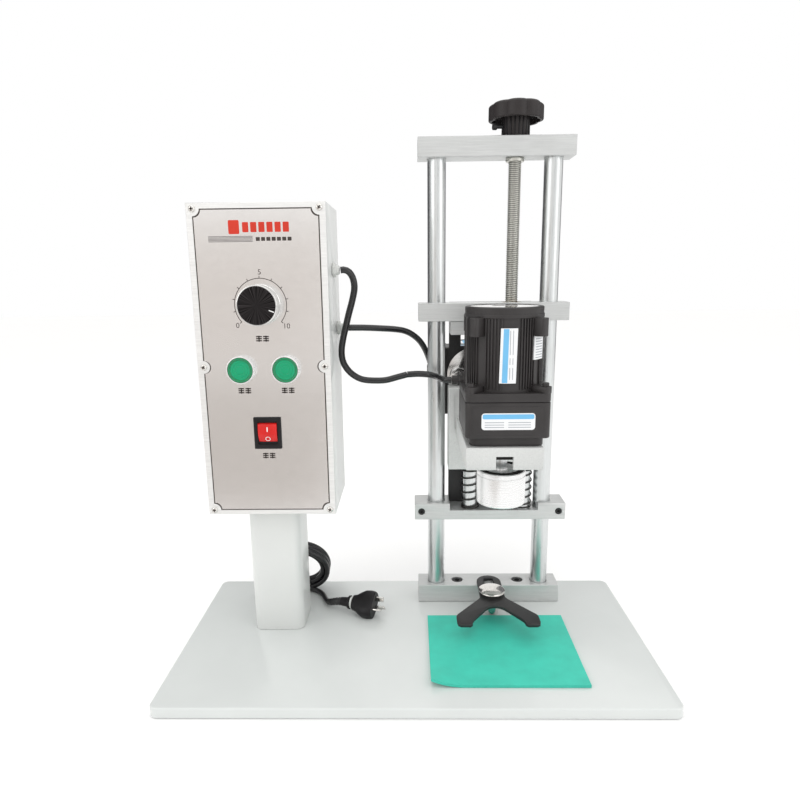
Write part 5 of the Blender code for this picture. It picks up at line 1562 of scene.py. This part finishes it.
def motorPieces(prefix, body, placed, levels, extras):
    # a square geared motor along its own Z, its labels facing its own -Y
    half, can = motor["half"], motor["can"]

    def put(name, shape, finish, slotName, replaced=()):
        shape.transform(placed)
        return shapedPiece(f"{prefix}_drive_{name}", shape, finish, body, replaced)

    def square(reach, low, high, corner, edge):
        return blockShape((-reach, -reach, low), (reach, reach, high), corner, edge, 2, 8, 3)

    gear = [square(half, levels["gearLow"], levels["gearHigh"], 6, 0.9)]
    if "noseLow" in levels:
        gear.append(square(motor["nose"], levels["noseLow"], levels["gearLow"] + 1, 8, 0.8))
    put("gear_case", joinShapes(gear), "gearboxPaint", "gearbox_casting", (prefix + "_gearbox",))
    out, side = motor["faceOut"], motor["faceHalf"]
    raised = blockShape((-side, -half - out, levels["gearLow"] + 3.4),
                        (side, -half + 2 - out, levels["gearHigh"] - 3.6), 3, 0, 1, 6)
    put("gear_face", raised, "gearboxPaint", "gearbox_casting")
    flange = square(half, levels["flangeLow"], levels["flangeHigh"], 6, 0.8)
    put("flange", joinShapes([flange, *extras]), "motorPaint", "motor_paint", (prefix + "_motor",))
    low, high, top = levels["flangeHigh"], levels["canHigh"], levels["capHigh"]
    profile = [(0, low - 1, 0), (can - 1.6, low - 1, 0), (can - 1.6, high - 2.5, 0), (can, high - 2.2, 0.2),
               (can, high + 0.8, 0.3), (can - 0.7, high + 1.2, 0.2), (can - 0.4, top - 1.2, 0.3),
               (can - 1.5, top, 0.8), (can - 5, top, 0.3), (can - 5.6, top - 0.5, 0.3), (13, top - 0.5, 0.3),
               (12.2, top - 1.1, 0.3), (0, top - 1.1, 0)]
    put("can", latheShape(profile, (0, 0, 0), "up", 120), "motorPaint", "motor_paint")
    profile = [(0, top - 1, 0), (can - 5.7, top - 1, 0), (can - 5.7, top - 0.25, 0.2), (13, top - 0.25, 0.2),
               (12, top - 0.7, 0.2), (0, top - 0.7, 0)]
    put("end_cover", latheShape(profile, (0, 0, 0), "up", 96), "capEnamel", "motor_paint")
    rib = blockShape((-1.4, -0.6, low + 3), (1.5, 0.6, high - 2.6), 0, 0.4, 2, 1, 2)
    for group in range(8):
        start = math.radians(-90 + (-34 if group % 2 else 17) + (group // 2) * 90)
        name = f"{prefix}_drive_ribs_{group}"
        ribs = arcCopies(name, rib.copy(), motor["ribsInGroup"], (can - 1.5) * mm, start,
                         math.radians(motor["ribStep"]), "motorPaint", placed)
        newPiece(name, ribs, "motorPaint", body)
    rib.free()
    ears = []
    for turn in (45, 135, 225, 315):
        spin = Matrix.Rotation(math.radians(turn), 4, "Z")
        for base, tall, reach in ((low - 0.5, 6.5, 54), (high - 19, 17, 48)):
            ear = blockShape((can - 5, -5, base), (reach, 5, base + tall), 3.2, 0.5, 2, 5, 2)
            ear.transform(spin)
            ears.append(ear)
        bolt = latheShape([(0, low + 6, 0), (3.2, low + 6, 0), (3.2, low + 9.4, 0.5), (1.6, low + 9.4, 0.1),
                           (1.6, low + 7.6, 0), (0, low + 7.6, 0)], (0, 0, 0), "up", 28)
        bolt.transform(Matrix.Translation(spin @ Vector((motor["boltCircle"] * mm, 0, 0))))
        ears.append(bolt)
    put("ears", joinShapes(ears), "motorPaint", "motor_paint")
    return put


def curvedLabel(radius, middleAngle, halfWidth, low, high, skew=0.0, thick=0.12):
    # a sheet bent round a can; skew leans it
    shape = bmesh.new()
    rows, columns = 12, 14
    grid = {}
    for layer, depth in enumerate((0, thick)):
        reach = (radius + depth) * mm
        for j in range(rows + 1):
            share = j / rows
            for i in range(columns + 1):
                across = -halfWidth + 2 * halfWidth * i / columns
                angle = math.radians(middleAngle) + (across + skew * (share - 0.5)) / radius
                spot = (reach * math.cos(angle), reach * math.sin(angle), (low + (high - low) * share) * mm)
                grid[layer, i, j] = shape.verts.new(spot)
    closeGrid(shape, grid, columns, rows)
    return shape


def labelPieces(put, levels, sticker):
    low, high = levels["flangeHigh"] + 7, levels["canHigh"] - 8
    inner, outer = motor["labelRadius"], motor["labelFace"]
    put("can_label", curvedLabel(inner, -91.5, 7.5, low + 2.5, high - 3, 0.9, 1.5), "labelPaper", "motor_paint")
    put("can_label_band", curvedLabel(outer, -95.6, 2.5, low + 3, high - 3.5, 0.9, 0.08), "labelBlue", "motor_paint")
    lines = [curvedLabel(outer, -91.5 + side, 0.3, low + start, low + end, 0, 0.08)
             for side in (2, 6) for start, end in ((6, 17), (20, 26), (29, high - low - 5))]
    put("can_label_lines", joinShapes(lines), "labelGrey", "motor_paint")
    middle = (levels["gearLow"] + levels["gearHigh"]) / 2 - 0.5
    face = -motor["half"] - motor["faceOut"]

    def flat(left, right, bottom, top, out, sunk, corner=0, edge=0, steps=3):
        return blockShape((left, face - out, middle + bottom), (right, face + sunk, middle + top), corner, edge, 1,
                          4 if edge == 0 else 6, steps)

    put("gear_label", flat(-25, 25, -8, 8, 0.25, 0.5, 3, 0.08, 1), "labelPaper", "gearbox_casting")
    put("gear_label_band", flat(-24, 24, 2.4, 7, 0.32, 0.1, 1.5), "labelBlue", "gearbox_casting")
    rows = [flat(left, right, z, z + 0.7, 0.32, 0.1)
            for z in (-1.2, -3.5, -5.8) for left, right in ((-22, -4), (0, 21))]
    put("gear_label_rows", joinShapes(rows), "labelGrey", "gearbox_casting")
    if sticker:
        put("side_sticker", curvedLabel(inner, -40, 7.5, high - 33, high - 6, 0.8, 1.5), "labelPaper", "motor_paint")
        rows = [curvedLabel(outer, -40, 6, high - 31.5 + row * 2.5, high - 30.7 + row * 2.5, 0, 0.06)
                for row in range(10)]
        put("side_sticker_rows", joinShapes(rows), "labelGrey", "motor_paint")


def glandShape(place, turn, length):
    section = [(0, 0, 0), (5, 0, 0.4), (5, length * 0.55, 0.3), (6, length * 0.6, 0.3), (6, length, 0.2),
               (0, length, 0)]
    shape = latheShape(section, (0, 0, 0), "up", 32)
    shape.transform(Matrix.Translation(place) @ turn)
    return shape


def buildMotors():
    low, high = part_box("head_gearbox")
    placed = Matrix.Translation(middleOf("head_gearbox"))
    junction = blockShape((50.5, 12, 288), (66, 35.6, 301), 1.5, 0.6, 2, 4, 2)
    entry = glandShape((42.8 * mm, 27.6 * mm, 294 * mm), Matrix.Rotation(math.pi / 2, 4, "Y"), 9)
    for shape in (junction, entry):
        shape.transform(placed.inverted())
    levels = {**headLevels, "noseLow": low.z / mm, "gearHigh": high.z / mm}
    labelPieces(motorPieces("head", "head", placed, levels, [junction, entry]), levels, True)

    low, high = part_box("lift_gearbox")
    placed = Matrix.Translation(((low.x + high.x) / 2, 0, (low.z + high.z) / 2)) @ facing["back"]
    end = high.y / mm
    boss = Vector((27, end + 0.3, 283.4))  # where the cable enters
    junction = blockShape(boss + Vector((-7, 12, -8)), boss + Vector((12, 28, 7)), 1.5, 0.6, 1, 4, 2)
    entry = glandShape((boss + Vector((0, 5.5, 0))) * mm, facing["back"], 7.5)
    for shape in (junction, entry):
        shape.transform(placed.inverted())
    levels = {name: end + height for name, height in liftLevels.items()}
    levels.update(gearLow=low.y / mm, gearHigh=end)
    labelPieces(motorPieces("lift", "carriage", placed, levels, [junction, entry]), levels, False)


chuck = {"liner": [(13.6, 178, 0.5), (14.4, 195.6, 0.3), (17.7, 195.6, 0.2), (17.7, 176.6, 0.4), (15.4, 176.6, 0.4)],
         "dustRing": [(17.8, 210.9, 0), (23.4, 210.9, 0), (23.2, 211.5, 0.2), (18, 211.5, 0.2)]}


def buildHead():
    softenNodes((
        ("slide_block", "castAluminium", "machined_aluminium", 1.0, 3),
        ("head_shelf", "castAluminium", "machined_aluminium", 1.2, 3),
        ("crank_disc crank_roller", "turnedSteel", "plain_steel", 0.5, 3),
    ))
    low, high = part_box("chuck")
    centre = middleOf("chuck")
    outer = (high.x - low.x) / 2 / mm
    section = [(0, 198.4, 0), (6.3, 198.4, 0), (6.3, 212.6, 0.2), (7.2, 212.6, 0.3), (8, 207.4, 0.6),
               (9.4, 206.2, 0.3), (16.8, 206.2, 0.5), (17, 210.6, 0.4), (17.6, 211, 0.2), (outer - 0.8, 211, 0.5),
               (outer, 210.2, 0.4), (outer, 206.6, 0.15), (outer - 0.5, 206.3, 0.1), (outer - 0.5, 205.7, 0.1),
               (outer, 205.4, 0.15), (outer, 177, 0.6), (outer - 0.8, 176, 0.4), (18, 176, 0.3), (18, 196, 0.2),
               (0, 196, 0)]
    turnedPiece("chuck_turned", section, centre, "chuckMetal", "chuck_unit", ("chuck",),
                segments=128)
    turnedPiece("chuck_liner_moulded", chuck["liner"], centre, "linerRubber", "chuck_unit",
                ("chuck_liner",))
    low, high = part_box("output_spindle")
    bottom, top = low.z / mm, high.z / mm
    section = [(0, bottom, 0), (6, bottom, 0.2), (6, 206, 0), (6, 213.2, 0.2), (5.6, 213.6, 0.1), (5.6, 214.6, 0.1),
               (6, 215, 0.2), (6, top, 0), (0, top, 0)]
    turnedPiece("spindle_ground", section, centre, "chrome", "chuck_unit", ("output_spindle",),
                segments=64)
    turnedPiece("dust_ring", chuck["dustRing"], centre, "linerRubber", "chuck_unit")
    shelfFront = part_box("head_shelf")[0].y  # the dark strip sits behind the top edge of the shelf's notch, painted shade where the notch's top is in shadow
    # a black rubber-finished strip behind the notch's top edge: painted shade over the spindle, not a real part
    shadeStrip = boxShape((centre.x - 12 * mm, shelfFront + 5.2 * mm, 230.4 * mm),
                   (centre.x + 7 * mm, shelfFront + 8.2 * mm, 235.8 * mm), 0, 0.3 * mm)
    shapedPiece("notch_lip", shadeStrip, "linerRubber", "head")


def buildFork():
    softenNodes((
        ("bottle_fork", "blackSteel", "black_steel", 0.9, 4),
        ("fork_washer", "nickel", "plain_steel", 0.25, 2),
        ("fork_standoff", "turnedSteel", "plain_steel", 0.4, 3),
    ))
    low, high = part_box("thumbscrew")
    top, bottom = high.z / mm, low.z / mm
    section = [(0, top, 0), (5, top - 0.2, 2), (10, top - 1, 2), (14, top - 2.3, 1), (15.4, top - 3.1, 0.5),
               (15.5, top - 3.7, 0.3), (14.8, top - 4.2, 0.3), (9, top - 4.5, 0.2), (8.6, top - 5.2, 0.1),
               (4, top - 5.2, 0), (4, bottom, 0.3), (0, bottom, 0)]
    turnedPiece("thumbscrew_plated", section, middleOf("thumbscrew"), "nickel", "fork_screw",
                ("thumbscrew",))


mat = {"columns": 62, "rows": 50, "curl": 7 * mm, "curlReach": 34 * mm, "wave": 0.12 * mm, "edge": 0.6 * mm}


def buildMat():
    low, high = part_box("rubber_mat")
    shape = bmesh.new()
    columns, rows = mat["columns"], mat["rows"]
    grid = {}
    for layer, base in enumerate((low.z, high.z)):
        for i in range(columns + 1):
            for j in range(rows + 1):
                x = low.x + (high.x - low.x) * i / columns
                y = low.y + (high.y - low.y) * j / rows
                share = max(0, 1 - math.hypot(x - low.x, y - low.y) / mat["curlReach"])
                wave = mat["wave"] * math.sin(x * 70) * math.sin(y * 90 + 1)
                grid[layer, i, j] = shape.verts.new((x, y, base + mat["curl"] * share * share + layer * wave))
    closeGrid(shape, grid, columns, rows)
    sharp = [e for e in shape.edges if len(e.link_faces) == 2 and e.calc_face_angle() > math.radians(50)]
    bmesh.ops.bevel(shape, geom=sharp, offset=mat["edge"], segments=3, affect="EDGES", profile=0.5)
    shapedPiece("mat_moulded", shape, "matRubber", "base", ("rubber_mat",), 60)


buildRods()
buildBars()
buildSprings()
buildLeadScrew()
buildHandwheel()
print("column ready")
buildMotors()
buildHead()
buildFork()
buildMat()
print("head, fork and mat ready")


# CAD nodes that still show

carriedOver = {"speed_control_board": "board", "speed_potentiometer": "turnedSteel"}
for node, finish in carriedOver.items():
    mesh = frame["nodes"][node].data
    mesh.materials.clear()
    mesh.materials.append(finishes[finish])
